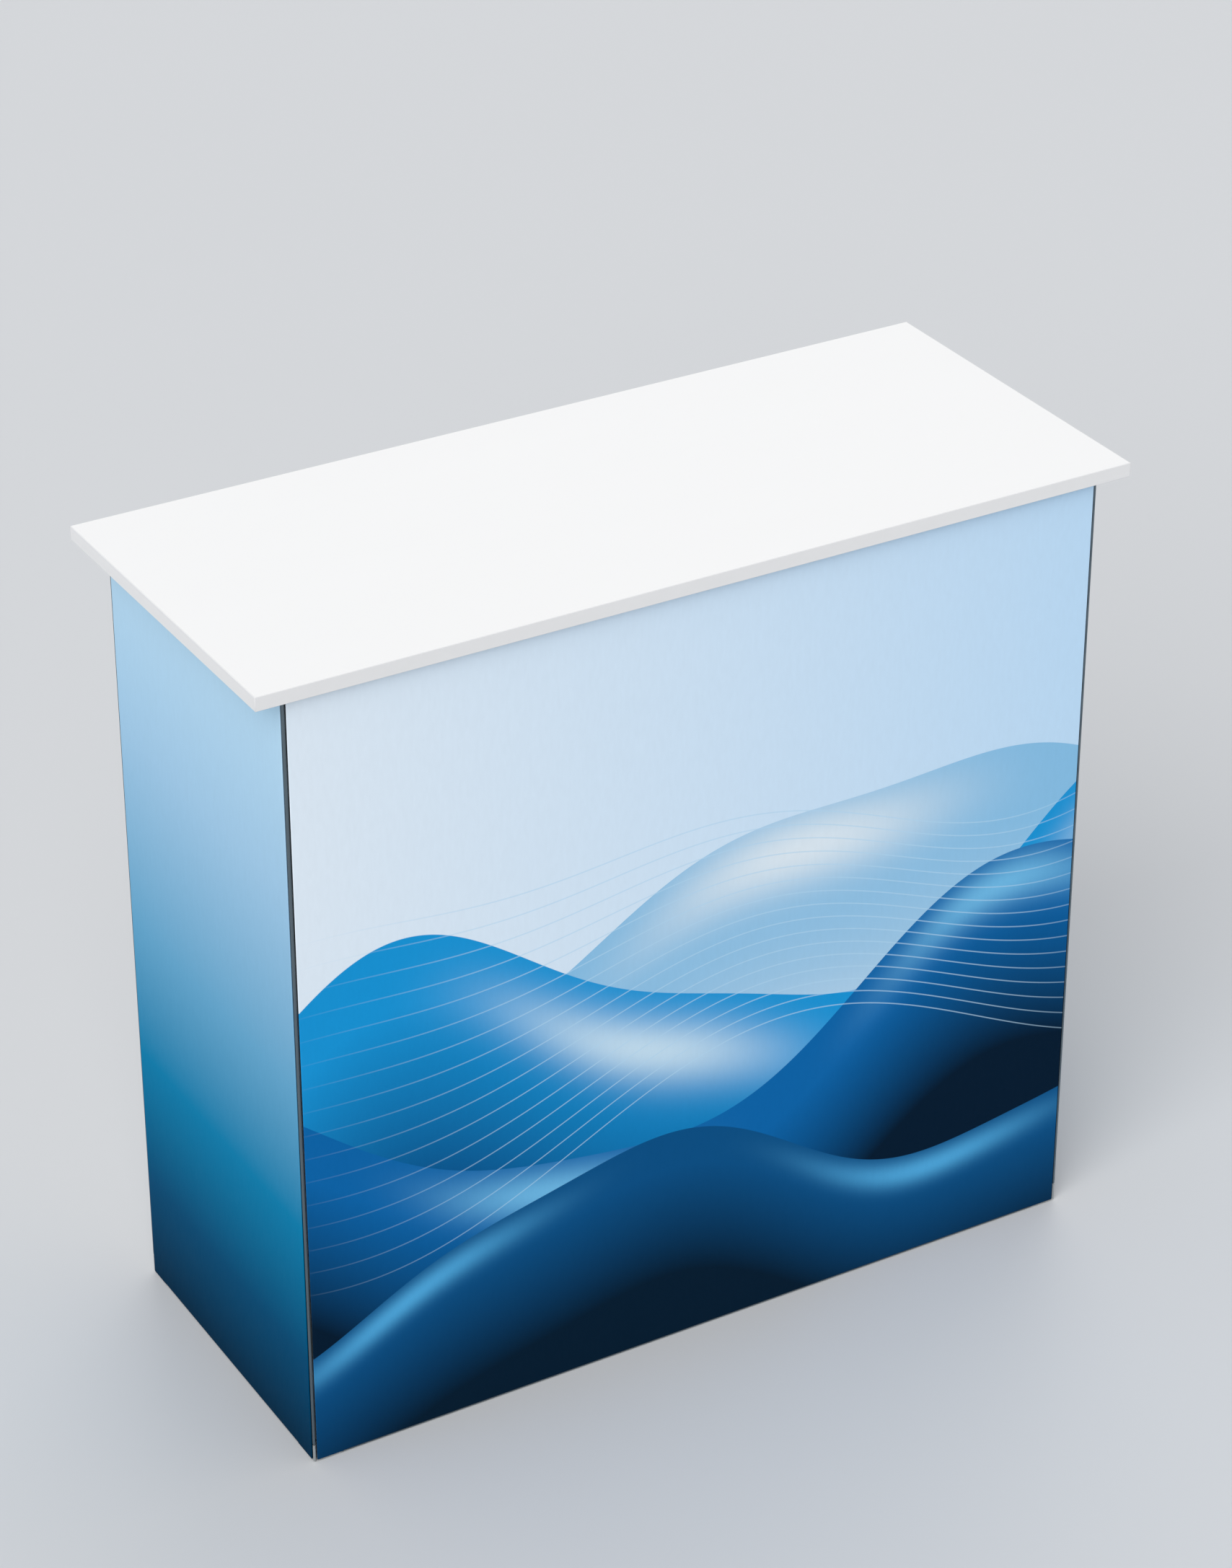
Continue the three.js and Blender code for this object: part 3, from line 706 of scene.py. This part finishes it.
def merge_into(bm, other):
    """Adds another shape to this one."""
    mesh = bpy.data.meshes.new("part")
    other.to_mesh(mesh)
    other.free()
    bm.from_mesh(mesh)
    bpy.data.meshes.remove(mesh)


def turned(bm, outline, place, steps):
    """Spins an outline of radius and height points into a closed round shape, and adds it."""
    part = bmesh.new()
    verts = [part.verts.new((radius, 0, height)) for radius, height in outline]
    edges = [part.edges.new(pair) for pair in zip(verts, verts[1:])]
    settings = {"cent": (0, 0, 0), "axis": (0, 0, 1), "angle": 2 * pi, "steps": steps}
    bmesh.ops.spin(part, geom=verts + edges, use_merge=True, **settings)
    closed(part)
    placed(part, place)
    merge_into(bm, part)


def screw(bm, place, facing, radius, rise):
    """Adds a cross-head screw: a cross sunk in a round face, a rounded rim and a flat underside."""
    part = bmesh.new()
    half = radius * SCREW_CROSS
    bmesh.ops.create_grid(part, x_segments=SCREW_CELLS, y_segments=SCREW_CELLS, size=half)
    cell = 2 * half / SCREW_CELLS
    cross = [f for f in part.faces if min(map(abs, f.calc_center_median().xy)) < cell]
    rim = pulled(part, [e for e in part.edges if e.is_boundary], (0, 0, 0))
    for vert in {v for e in rim for v in e.verts}:
        vert.co = vert.co.normalized() * radius * SCREW_FACE
    wide = SCREW_FACE
    for share, drop in SCREW_RIM:
        rim = pulled(part, rim, (0, 0, -drop * rise))
        verts = list({v for e in rim for v in e.verts})
        bmesh.ops.scale(part, verts=verts, vec=(share / wide, share / wide, 1))
        wide = share
    bmesh.ops.edgeloop_fill(part, edges=rim)
    cross += list({e for f in cross for e in f.edges})
    sunk = verts_of(bmesh.ops.extrude_face_region(part, geom=cross)["geom"])
    bmesh.ops.translate(part, verts=sunk, vec=(0, 0, -rise * SCREW_DEPTH))
    # The sunk cross takes the second finish, which is painted shade standing in for the depth of a real
    # recess
    for face in {f for v in sunk for f in v.link_faces}:
        face.material_index = 1
    bmesh.ops.translate(part, verts=part.verts, vec=(0, 0, rise))
    turn = Vector(facing).to_track_quat("Z", "Y").to_matrix().to_4x4()
    placed(part, Matrix.Translation(place) @ turn)
    merge_into(bm, part)


def added(name, data):
    """Puts an object with this data in the scene."""
    made = bpy.data.objects.new(name, data)
    bpy.context.scene.collection.objects.link(made)
    return made


def added_shape(name, bm, finishes):
    """Puts a finished shape in the scene."""
    mesh = bpy.data.meshes.new(name)
    bm.to_mesh(mesh)
    bm.free()
    for look in finishes:
        mesh.materials.append(finish(look))
    return added(name, mesh)


def piece(name, bm, finishes, body):
    """Makes a finished shape a piece that moves with a body."""
    made = added_shape(name, bm, finishes)
    made.data.shade_smooth()
    made.data.set_sharp_from_angle(angle=SMOOTH)
    weighted = made.modifiers.new("even shading", "WEIGHTED_NORMAL")
    weighted.keep_sharp, weighted.weight = True, FACE_WEIGHT
    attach(made, body)
    return made


def spread(low, high, shares):
    """Places at shares of the way between two."""
    return [low + (high - low) * share for share in shares]


def screws_piece(name, bm, body):
    """Makes a set of screws a piece."""
    # The second finish paints shade into the screws' crosses
    piece(name, bm, ["zinc_plating", "screw_recess"], body)


def body_of(node):
    """The body that a node moves with."""
    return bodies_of(frame["nodes"][node])[0]


def farthest(node, facing):
    """How far a node's box reaches in a direction."""
    return max(facing.dot(corner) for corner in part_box(node))


def stand_in(name, bm, finishes, node):
    """Makes a shape the piece that is seen in a node's place."""
    made = piece(name, bm, finishes, body_of(node))
    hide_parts(node)
    return made


def dressed(node, first, width, second=None, takes_second=None, bm=None):
    """A node's shape with rounded corners, in a finish or two, in the node's place."""
    bm = bm or copied(node)
    arris(bm, width)
    if second:
        for face in bm.faces:
            face.material_index = int(takes_second(face))
    stand_in(f"dressed_{node}", bm, [first, second] if second else [first], node)


def faced(node, axis):
    """A board in melamine whose faces look along an axis, with bands on its edges."""

    def is_edge(face):
        return abs(getattr(face.normal, axis)) < 0.5

    dressed(node, "melamine_board", sizes().board_arris, "board_edge_band", is_edge)


# Operators


class Undoable:
    """What the operators share."""

    bl_options = {"REGISTER", "UNDO"}


class COUNTER_OT_stage(Undoable, bpy.types.Operator):
    """Lays the floor, hangs the lamps and sets the camera"""

    bl_idname = "counter.stage"
    bl_label = "Stage"

    FLOOR_SIDES = 96

    def execute(self, context):
        stage = context.scene.counter_stage
        self.floor()
        self.sky(context.scene, stage)
        self.lamp("key", stage.key_from, stage.key_strength, stage.lamp_spread)
        fill = self.lamp("fill", stage.fill_from, stage.fill_strength, stage.lamp_spread)
        fill.visible_glossy = False
        self.camera(context.scene, stage)
        context.scene.view_settings.view_transform = "Standard"
        return {"FINISHED"}

    def floor(self):
        """A wide round floor."""
        bm = bmesh.new()
        radius = sizes().floor_radius
        bmesh.ops.create_circle(bm, cap_ends=True, segments=self.FLOOR_SIDES, radius=radius)
        added_shape("floor", bm, ["pale_floor"])

    def sky(self, scene, stage):
        """An even light, in which the camera and reflections see the backdrop's own colour."""
        world = bpy.data.worlds.new("studio")
        world.use_nodes = True
        scene.world = world
        nodes = Nodes(world.node_tree)
        background = world.node_tree.nodes["Background"]
        rays = nodes.node("ShaderNodeLightPath", out="Is Camera Ray")
        seen = nodes.maths("MAXIMUM", rays, rays.sibling("Is Glossy Ray"))
        seen = nodes.maths("MAXIMUM", seen, rays.sibling("Is Transmission Ray"))
        nodes.feed(background.inputs["Color"], colours().backdrop)
        nodes.feed(background.inputs["Strength"], seen * (1 - stage.sky_light) + stage.sky_light)

    def lamp(self, name, place, strength, spread):
        """A soft lamp that shines from a place towards the counter."""
        data = bpy.data.lights.new(name, "SUN")
        data.energy, data.angle = strength, spread
        lamp = added(name, data)
        lamp.location = place
        lamp.rotation_euler = (-Vector(place)).to_track_quat("-Z", "Y").to_euler()
        return lamp

    def camera(self, scene, stage):
        """The camera, at the photograph's place and angle."""
        data = bpy.data.cameras.new("camera")
        data.lens = stage.lens
        scene.camera = added("camera", data)
        turn = rotation(stage.azimuth, "Z") @ rotation(QUARTER - stage.elevation, "X")
        scene.camera.matrix_world = Matrix.Translation(stage.camera_place) @ turn


class COUNTER_OT_worktop(Undoable, bpy.types.Operator):
    """Faces the worktop with laminate and glues a band on each of its edges"""

    bl_idname = "counter.worktop"
    bl_label = "Worktop"

    BAND_STEPS = 3

    def execute(self, context):
        dressed("worktop_board", "white_laminate", sizes().band_seam)
        for side, outward in OUTWARD.items():
            self.band(f"edge_band_{side}", Vector(outward))
        return {"FINISHED"}

    def band(self, node, outward):
        """A band with round outer edges and a fine bevel along its glue line."""
        bm = block(*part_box(node))
        outer = (outward, sizes().band_radius, self.BAND_STEPS)
        inner = (-outward, sizes().band_seam, 1)
        for facing, width, steps in (outer, inner):
            face = farthest(node, facing) - MERGE
            arris(bm, width, lambda e: all(facing.dot(v.co) > face for v in e.verts), steps)
        stand_in(f"dressed_{node}", bm, ["drawn_edge_band"], node)


class COUNTER_OT_fabric(Undoable, bpy.types.Operator):
    """Stretches the printed fabric over the front and the two sides"""

    bl_idname = "counter.fabric"
    bl_label = "Fabric"

    CELLS = 24
    FOLD_STEPS = 4
    LIP_TURN = 3 * pi / 4
    LIP_STEPS = 9

    def execute(self, context):
        low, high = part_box("graphic_left")
        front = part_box("graphic_front")[0].y
        rear = high.y + sqrt(2) * LIP_REACH
        half = -low.x
        heights = (low.z, high.z)
        self.face("front", 2 * half, heights, (-half, front, 0), 0)
        self.face("right", rear - front, heights, (half, front, 0), 1)
        self.face("left", rear - front, heights, (-half, rear, 0), 3)
        return {"FINISHED"}

    def face(self, side, width, heights, corner, turns):
        """One face's sheet and hem, drawn as seen from outside and turned into place."""
        node = f"graphic_{side}"
        place = Matrix.Translation(corner) @ rotation(turns * QUARTER, "Z")
        strips = self.hem(width, heights)
        placed(strips, place)
        hem = piece(f"hem_{side}", strips, ["milky_silicone"], body_of(node))
        cut, flat = self.sheet(width, heights)
        placed(cut, place)
        look = "front_cloth" if side == "front" else "side_cloth"
        sheet = stand_in(f"fabric_{side}", cut, [look, f"{look}_back"], node)
        wall = sheet.modifiers.new("thickness", "SOLIDIFY")
        wall.thickness, wall.offset, wall.material_offset = sizes().cloth, -1, 1
        # The cloth gets its thickness before its shading
        sheet.modifiers.move(1, 0)
        rests = [f"dressed_corner_post_{post}" for post in CORNERS if side in post]
        rests += [f"dressed_{level}_rail_{side}" for level in ("top", "bottom")]

    def sheet(self, width, heights):
        """The cloth of one face with its turned edges, and the size it was cut to."""
        s = sizes()
        lip = s.lip_radius + sqrt(2) * LIP_REACH
        low, high = heights[0] + s.fold_radius, heights[1] - s.fold_radius
        bm = bmesh.new()
        bmesh.ops.create_grid(bm, x_segments=self.CELLS, y_segments=self.CELLS, size=0.5)
        bmesh.ops.scale(bm, verts=bm.verts, vec=(width - 2 * lip, high - low, 1))
        placed(bm, Matrix.Translation((width / 2, 0, (low + high) / 2)) @ rotation(QUARTER, "X"))
        for x in (CORNER_SPAN, width - CORNER_SPAN):
            parts = [*bm.verts, *bm.edges, *bm.faces]
            bmesh.ops.bisect_plane(bm, geom=parts, plane_co=(x, 0, 0), plane_no=(1, 0, 0))
        self.rail_edge(bm, width, low, -1)
        self.rail_edge(bm, width, high, 1)
        self.post_edge(bm, lip, 1)
        self.post_edge(bm, width - lip, -1)
        closed(bm)
        # An open sheet has no outside of its own
        if max(bm.faces, key=lambda f: f.calc_area()).normal.y > 0:
            bmesh.ops.reverse_faces(bm, faces=bm.faces)
        wrap = self.LIP_TURN * s.lip_radius + self.groove_run()
        fold = QUARTER * s.fold_radius + HEM_REACH - s.fold_radius
        return bm, (width - 2 * lip + 2 * wrap, high - low + 2 * fold)

    def groove_run(self):
        """How far the cloth runs straight into a post's groove, past the lip."""
        return WRAP_REACH - LIP_REACH - sqrt(2) * sizes().lip_radius

    def rail_edge(self, bm, width, level, up):
        """Turns an upper or lower edge into its rail, and leaves it upright beside the posts."""
        s = sizes()
        near, far = CORNER_SPAN - MERGE, width - CORNER_SPAN + MERGE
        edges = [e for e in bm.edges if all(abs(v.co.z - level) < MERGE for v in e.verts)]
        held = [e for e in edges if all(near < v.co.x < far for v in e.verts)]
        loose = [e for e in edges if e not in held]
        fold = swung(bm, held, (0, s.fold_radius, level), (-up, 0, 0), QUARTER, self.FOLD_STEPS)
        pulled(bm, fold, (0, HEM_REACH - s.fold_radius, 0))
        pulled(bm, loose, (0, 0, up * s.fold_radius))

    def post_edge(self, bm, x, inward):
        """Turns a side edge round a post's lip and into its groove."""
        radius = sizes().lip_radius
        edges = [e for e in bm.edges if e.is_boundary and all(abs(v.co.x - x) < MERGE for v in e.verts)]
        far = swung(bm, edges, (x, radius, 0), (0, 0, -inward), self.LIP_TURN, self.LIP_STEPS)
        run = self.groove_run() / sqrt(2)
        pulled(bm, far, (inward * run, run, 0))

    def hem(self, width, heights):
        """The silicone strips sewn along the four edges, in their grooves."""
        s = sizes()
        bm = bmesh.new()
        left, right = CORNER_SPAN, width - CORNER_SPAN
        near = s.fold_radius + s.cloth
        bottom, top = heights
        inner, outer = s.cloth, HEM_THICKNESS
        self.strip(bm, (left, near, bottom + inner), (right, HEM_REACH, bottom + outer))
        self.strip(bm, (left, near, top - outer), (right, HEM_REACH, top - inner))
        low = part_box("foot_cap_front_left")[0].z + CAP_HEIGHT + HEM_GAP
        nearest = LIP_REACH - s.lip_radius + s.cloth
        for x, turn, across in ((0, pi / 4, -1), (width, 3 * pi / 4, 1)):
            ends = sorted((across * nearest, across * (nearest - HEM_THICKNESS)))
            place = Matrix.Translation((x, 0, 0)) @ rotation(turn, "Z")
            start = (WRAP_REACH - s.cloth, ends[0], low)
            self.strip(bm, start, (GROOVE_END, ends[1], top - HEM_GAP), place)
        return bm

    def strip(self, bm, low, high, place=Matrix.Identity(4)):
        """Adds a bar of hem between two corners, turned into a place."""
        bar = block(low, high)
        arris(bar, sizes().metal_arris)
        placed(bar, place)
        merge_into(bm, bar)


class COUNTER_OT_posts(Undoable, bpy.types.Operator):
    """Finishes the corner posts and their foot caps"""

    bl_idname = "counter.posts"
    bl_label = "Posts"

    def execute(self, context):
        for corner in CORNERS:
            dressed(f"corner_post_{corner}", "anodised_aluminium_z", sizes().metal_arris)
            self.cap(f"foot_cap_{corner}")
        return {"FINISHED"}

    def cap(self, node):
        """A cap whose shoulder stays clear of the post, so that its tongue shows as a seam. The tongue is
        moulded in dark nylon, which also serves as painted shade in that seam.
        """
        s = sizes()
        bm = copied(node)
        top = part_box(node)[0].z + CAP_HEIGHT
        shoulder = [v for v in bm.verts if abs(v.co.z - top) < MERGE]
        bmesh.ops.translate(bm, verts=shoulder, vec=(0, 0, -s.cap_seam))

        # The tongue takes dark nylon: a dark insert, and painted shade for the seam above the cap
        def is_tongue(face):
            return face.calc_center_median().z > top - s.cap_seam + MERGE

        dressed(node, "cast_foot_cap", s.fitting_arris, "moulded_nylon", is_tongue, bm)


class COUNTER_OT_rails(Undoable, bpy.types.Operator):
    """Finishes the rails between the posts, and sets the screws that lock them"""

    bl_idname = "counter.rails"
    bl_label = "Rails"

    SHELF_SCREWS = (1 / 8, 1 / 2, 7 / 8)

    def execute(self, context):
        width = sizes().metal_arris
        screws = bmesh.new()
        for side in (*ENDS, *SIDES):
            for level in ("top", "bottom"):
                node = f"{level}_rail_{side}"
                dressed(node, f"anodised_aluminium_{'x' if side in ENDS else 'y'}", width)
                self.locks(screws, node, side)
        dressed("door_stop_strip", "anodised_aluminium_x", width)
        for side in SIDES:
            dressed(f"shelf_rail_{side}", "anodised_aluminium_y", width)
            self.shelf_screws(screws, f"shelf_rail_{side}")
        screws_piece("frame_screws", screws, "counter")
        return {"FINISHED"}

    def locks(self, bm, node, side):
        """A locking screw near each end of a rail, on its inner face."""
        s = sizes()
        low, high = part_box(node)
        half = (high - low) / 2
        facing = -Vector(OUTWARD[side])
        along = Vector((abs(facing.y), abs(facing.x), 0))
        middle = low + half + facing * abs(facing.dot(half))
        offset = along * (along.dot(half) - s.lock_inset)
        for place in (middle - offset, middle + offset):
            screw(bm, place, facing, s.lock_screw_radius, s.flush_rise)

    def shelf_screws(self, bm, node):
        """Three screws up through a shelf rail into the shelf."""
        s = sizes()
        low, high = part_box(node)
        for y in spread(low.y, high.y, self.SHELF_SCREWS):
            place = ((low.x + high.x) / 2, y, high.z - SHELF_RAIL_THICKNESS)
            screw(bm, place, (0, 0, -1), s.pan_screw_radius, s.pan_rise)


class COUNTER_OT_boards(Undoable, bpy.types.Operator):
    """Faces the base board and the shelf, and bands their edges"""

    bl_idname = "counter.boards"
    bl_label = "Boards"

    def execute(self, context):
        faced("base_board", "z")
        faced("shelf", "z")
        return {"FINISHED"}


class COUNTER_OT_doors(Undoable, bpy.types.Operator):
    """Faces the two doors and bands their edges"""

    bl_idname = "counter.doors"
    bl_label = "Doors"

    def execute(self, context):
        faced("door_left", "y")
        faced("door_right", "y")
        return {"FINISHED"}


class COUNTER_OT_handles(Undoable, bpy.types.Operator):
    """Bends the bow handles and seats them on their roses"""

    bl_idname = "counter.handles"
    bl_label = "Handles"

    BAR_SIDES = 28
    BEND_STEPS = 10
    ROSE_SIDES = 48
    # A rose from its back to its sunk middle, as shares of its radius and thickness
    ROSE = ((0, 0), (1, 0), (1, 0.55), (0.94, 0.9), (0.86, 1), (0.68, 1), (0.64, 0.9), (0, 0.9))

    def execute(self, context):
        for side in SIDES:
            node = f"door_handle_{side}"
            low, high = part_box(node)
            rose = (high.x - low.x) / 2
            outline = [(wide * rose, thick * sizes().rose_thickness) for wide, thick in self.ROSE]
            middle = (low.x + high.x) / 2
            levels = (low.z + rose, high.z - rose)
            bm = bmesh.new()
            self.bar(bm, middle, low.y, high.y, levels)
            for level in levels:
                place = Matrix.Translation((middle, low.y, level)) @ FACING_REAR
                turned(bm, outline, place, self.ROSE_SIDES)
            stand_in(f"bow_handle_{side}", bm, ["brushed_steel"], node)
        return {"FINISHED"}

    def bar(self, bm, x, door, outside, levels):
        """A bar that leaves the door, bends, runs upright and bends back."""
        s = sizes()
        bend, radius = s.handle_bend, s.handle_radius
        stem = outside - radius - bend
        foot, head = levels
        circle = bmesh.ops.create_circle(bm, cap_ends=True, segments=self.BAR_SIDES, radius=radius)
        ring = circle["verts"]
        start = Matrix.Translation((x, door, foot)) @ FACING_REAR
        bmesh.ops.transform(bm, verts=ring, matrix=start)
        rim = list({e for v in ring for e in v.link_edges})
        rim = pulled(bm, rim, (0, stem - door, 0))
        rim = swung(bm, rim, (x, stem, foot + bend), (1, 0, 0), QUARTER, self.BEND_STEPS)
        rim = pulled(bm, rim, (0, 0, head - foot - 2 * bend))
        rim = swung(bm, rim, (x, stem, head - bend), (1, 0, 0), QUARTER, self.BEND_STEPS)
        rim = pulled(bm, rim, (0, door - stem, 0))
        bmesh.ops.edgeloop_fill(bm, edges=rim)
        closed(bm)


class COUNTER_OT_locks(Undoable, bpy.types.Operator):
    """Turns the lock housings, and finishes the cores and cams"""

    bl_idname = "counter.locks"
    bl_label = "Locks"

    HOUSING_SIDES = 56
    # A flange from its back to its bore, as shares of its radius and of its thickness from the face
    FLANGE = ((1, 1), (1, 0.55), (0.97, 0.25), (0.90, 0.04), (0.84, 0), (0.66, 0), (0.62, 0.2), (0.55, 0.2))
    BORE_DROP = 0.3

    def execute(self, context):
        width = sizes().fitting_arris
        for side in SIDES:
            self.housing(f"lock_housing_{side}")
            dressed(f"lock_core_{side}", "turned_nickel", width)
            dressed(f"lock_cam_{side}", "zinc_plating", width)
        return {"FINISHED"}

    def housing(self, node):
        """A barrel behind a flange whose face steps down round the core."""
        s = sizes()
        low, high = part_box(node)
        radius, deep, thick = (high.x - low.x) / 2, high.y - low.y, s.lock_flange
        outline = [(s.lock_bore, 0), (s.lock_barrel, 0), (s.lock_barrel, deep - thick)]
        outline += [(wide * radius, deep - drop * thick) for wide, drop in self.FLANGE]
        outline += [(s.lock_bore, deep - self.BORE_DROP * thick), (s.lock_bore, 0)]
        bm = bmesh.new()
        middle = ((low.x + high.x) / 2, low.y, (low.z + high.z) / 2)
        turned(bm, outline, Matrix.Translation(middle) @ FACING_REAR, self.HOUSING_SIDES)
        stand_in(f"turned_{node}", bm, ["turned_nickel"], node)


class COUNTER_OT_hinges(Undoable, bpy.types.Operator):
    """Finishes the butt hinges and drives their screws"""

    bl_idname = "counter.hinges"
    bl_label = "Hinges"

    LEAF_SCREWS = (0.15, 0.5, 0.85)

    def execute(self, context):
        width = sizes().fitting_arris
        for side in SIDES:
            driven = {"post": bmesh.new(), "door": bmesh.new()}
            for level in ("lower", "upper"):
                place = f"{side}_{level}"
                dressed(f"hinge_pin_{place}", "zinc_plating", width)
                for half, screws in driven.items():
                    dressed(f"hinge_{half}_leaf_{place}", "zinc_plating", width)
                    self.screws(screws, half, side, place)
            screws_piece(f"hinge_screws_post_{side}", driven["post"], "counter")
            screws_piece(f"hinge_screws_door_{side}", driven["door"], f"door_{side}")
        return {"FINISHED"}

    def screws(self, bm, half, side, place):
        """Three flush screws down the middle of a leaf's plate."""
        s = sizes()
        node = f"hinge_{half}_leaf_{place}"
        low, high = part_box(node)
        outward = Vector(OUTWARD[side])
        if half == "post":
            out, facing = farthest(node, outward) - LEAF_THICKNESS, -outward
        else:
            out, facing = farthest(f"door_{side}", outward) + SEAT_GAP + LEAF_THICKNESS, outward
        for level in spread(low.z, high.z, self.LEAF_SCREWS):
            middle = (outward.x * out, low.y + s.leaf_screw_inset, level)
            screw(bm, middle, facing, s.leaf_screw_radius, s.flush_rise)


class COUNTER_OT_brackets(Undoable, bpy.types.Operator):
    """Finishes the worktop's angle brackets and drives their screws"""

    bl_idname = "counter.brackets"
    bl_label = "Brackets"

    BRACKET_SCREWS = (1 / 4, 3 / 4)

    def execute(self, context):
        s = sizes()
        thick, radius, rise = BRACKET_THICKNESS, s.pan_screw_radius, s.pan_rise
        screws = bmesh.new()
        for corner in CORNERS:
            node = f"worktop_bracket_{corner}"
            dressed(node, "zinc_plating", s.metal_arris)
            low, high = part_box(node)
            middle = (low + high) / 2
            inward = 1 if "front" in corner else -1
            wall = (low.y if inward > 0 else high.y) + inward * thick
            for x in spread(low.x, high.x, self.BRACKET_SCREWS):
                screw(screws, (x, middle.y + inward * thick, high.z - thick), (0, 0, -1), radius, rise)
                screw(screws, (x, wall, middle.z - thick), (0, inward, 0), radius, rise)
        screws_piece("bracket_screws", screws, "counter")
        return {"FINISHED"}


class COUNTER_OT_feet(Undoable, bpy.types.Operator):
    """Moulds the ribbed levelling feet and cuts the threads of their studs"""

    bl_idname = "counter.feet"
    bl_label = "Levelling feet"

    # One vertex in so many round the rim is a notch, at this share of the radius
    NOTCH_EVERY = 3
    NOTCH_SHARE = 0.95
    STUD_SIDES = 28
    TIP_SHARE = 0.7

    def execute(self, context):
        for corner in CORNERS:
            node = f"levelling_foot_{corner}"
            low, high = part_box(node)
            middle = Vector(((low.x + high.x) / 2, (low.y + high.y) / 2, low.z))
            bm = bmesh.new()
            self.disc(bm, (high.x - low.x) / 2, middle)
            self.stud(bm, high.z - low.z, middle)
            stand_in(f"ribbed_{node}", bm, ["moulded_nylon"], node)
        return {"FINISHED"}

    def disc(self, bm, radius, middle):
        """A disc with notches round its rim and rounded edges."""
        s = sizes()
        sides = self.NOTCH_EVERY * s.foot_notches
        size = {"segments": sides, "radius1": radius, "radius2": radius, "depth": s.foot_disc}
        disc = bmesh.ops.create_cone(bm, cap_ends=True, **size)["verts"]
        numbered = [(round(atan2(v.co.y, v.co.x) * sides / (2 * pi)), v) for v in disc]
        notched = [v for number, v in numbered if number % self.NOTCH_EVERY == 0]
        bmesh.ops.scale(bm, verts=notched, vec=(self.NOTCH_SHARE, self.NOTCH_SHARE, 1))
        rims = [e for e in bm.edges if abs(e.verts[0].co.z - e.verts[1].co.z) < MERGE]
        rounded(bm, rims, s.foot_arris)
        bmesh.ops.translate(bm, verts=bm.verts, vec=middle + Vector((0, 0, s.foot_disc / 2)))

    def stud(self, bm, height, middle):
        """A stud with a thread from the disc to a pointed end."""
        s = sizes()
        core, pitch = s.stud_core, s.thread_pitch
        outline = [(0, s.foot_disc), (core, s.foot_disc)]
        level = s.foot_disc + pitch
        while level < height - 2 * pitch:
            outline += [(core, level), (s.stud_radius, level + pitch / 2)]
            level += pitch
        outline += [(core, level), (core, height - pitch / 2)]
        outline += [(self.TIP_SHARE * core, height), (0, height)]
        turned(bm, outline, Matrix.Translation(middle), self.STUD_SIDES)


class COUNTER_PT_panel(bpy.types.Panel):
    """The counter's steps and settings"""

    bl_label = "Counter"
    bl_idname = "COUNTER_PT_panel"
    bl_space_type = "VIEW_3D"
    bl_region_type = "UI"
    bl_category = "Counter"

    def draw(self, context):
        for step in STEPS:
            self.layout.operator(step.bl_idname)
        for group in GROUPS:
            settings = getattr(context.scene, group)
            box = self.layout.box()
            for name in settings.__annotations__:
                box.prop(settings, name)


STEPS = (
    COUNTER_OT_stage,
    COUNTER_OT_worktop,
    COUNTER_OT_fabric,
    COUNTER_OT_posts,
    COUNTER_OT_rails,
    COUNTER_OT_boards,
    COUNTER_OT_doors,
    COUNTER_OT_handles,
    COUNTER_OT_locks,
    COUNTER_OT_hinges,
    COUNTER_OT_brackets,
    COUNTER_OT_feet,
)
GROUPS = {
    "counter_sizes": CounterSizes,
    "counter_colours": CounterColours,
    "counter_stage": CounterStage,
}
CLASSES = (*GROUPS.values(), *STEPS, COUNTER_PT_panel)


def register():
    """Registers the classes and the settings."""
    for kind in CLASSES:
        bpy.utils.register_class(kind)
    for group, kind in GROUPS.items():
        setattr(bpy.types.Scene, group, PointerProperty(type=kind))


def unregister():
    """Takes the settings and the classes away again."""
    for group in GROUPS:
        delattr(bpy.types.Scene, group)
    for kind in reversed(CLASSES):
        bpy.utils.unregister_class(kind)


def main():
    """Makes the counter and its stage."""
    register()
    bpy.ops.counter.stage()
    bpy.ops.counter.worktop()
    bpy.ops.counter.fabric()
    bpy.ops.counter.posts()
    bpy.ops.counter.rails()
    bpy.ops.counter.boards()
    bpy.ops.counter.doors()
    bpy.ops.counter.handles()
    bpy.ops.counter.locks()
    bpy.ops.counter.hinges()
    bpy.ops.counter.brackets()
    bpy.ops.counter.feet()


if __name__ == "__main__":
    main()
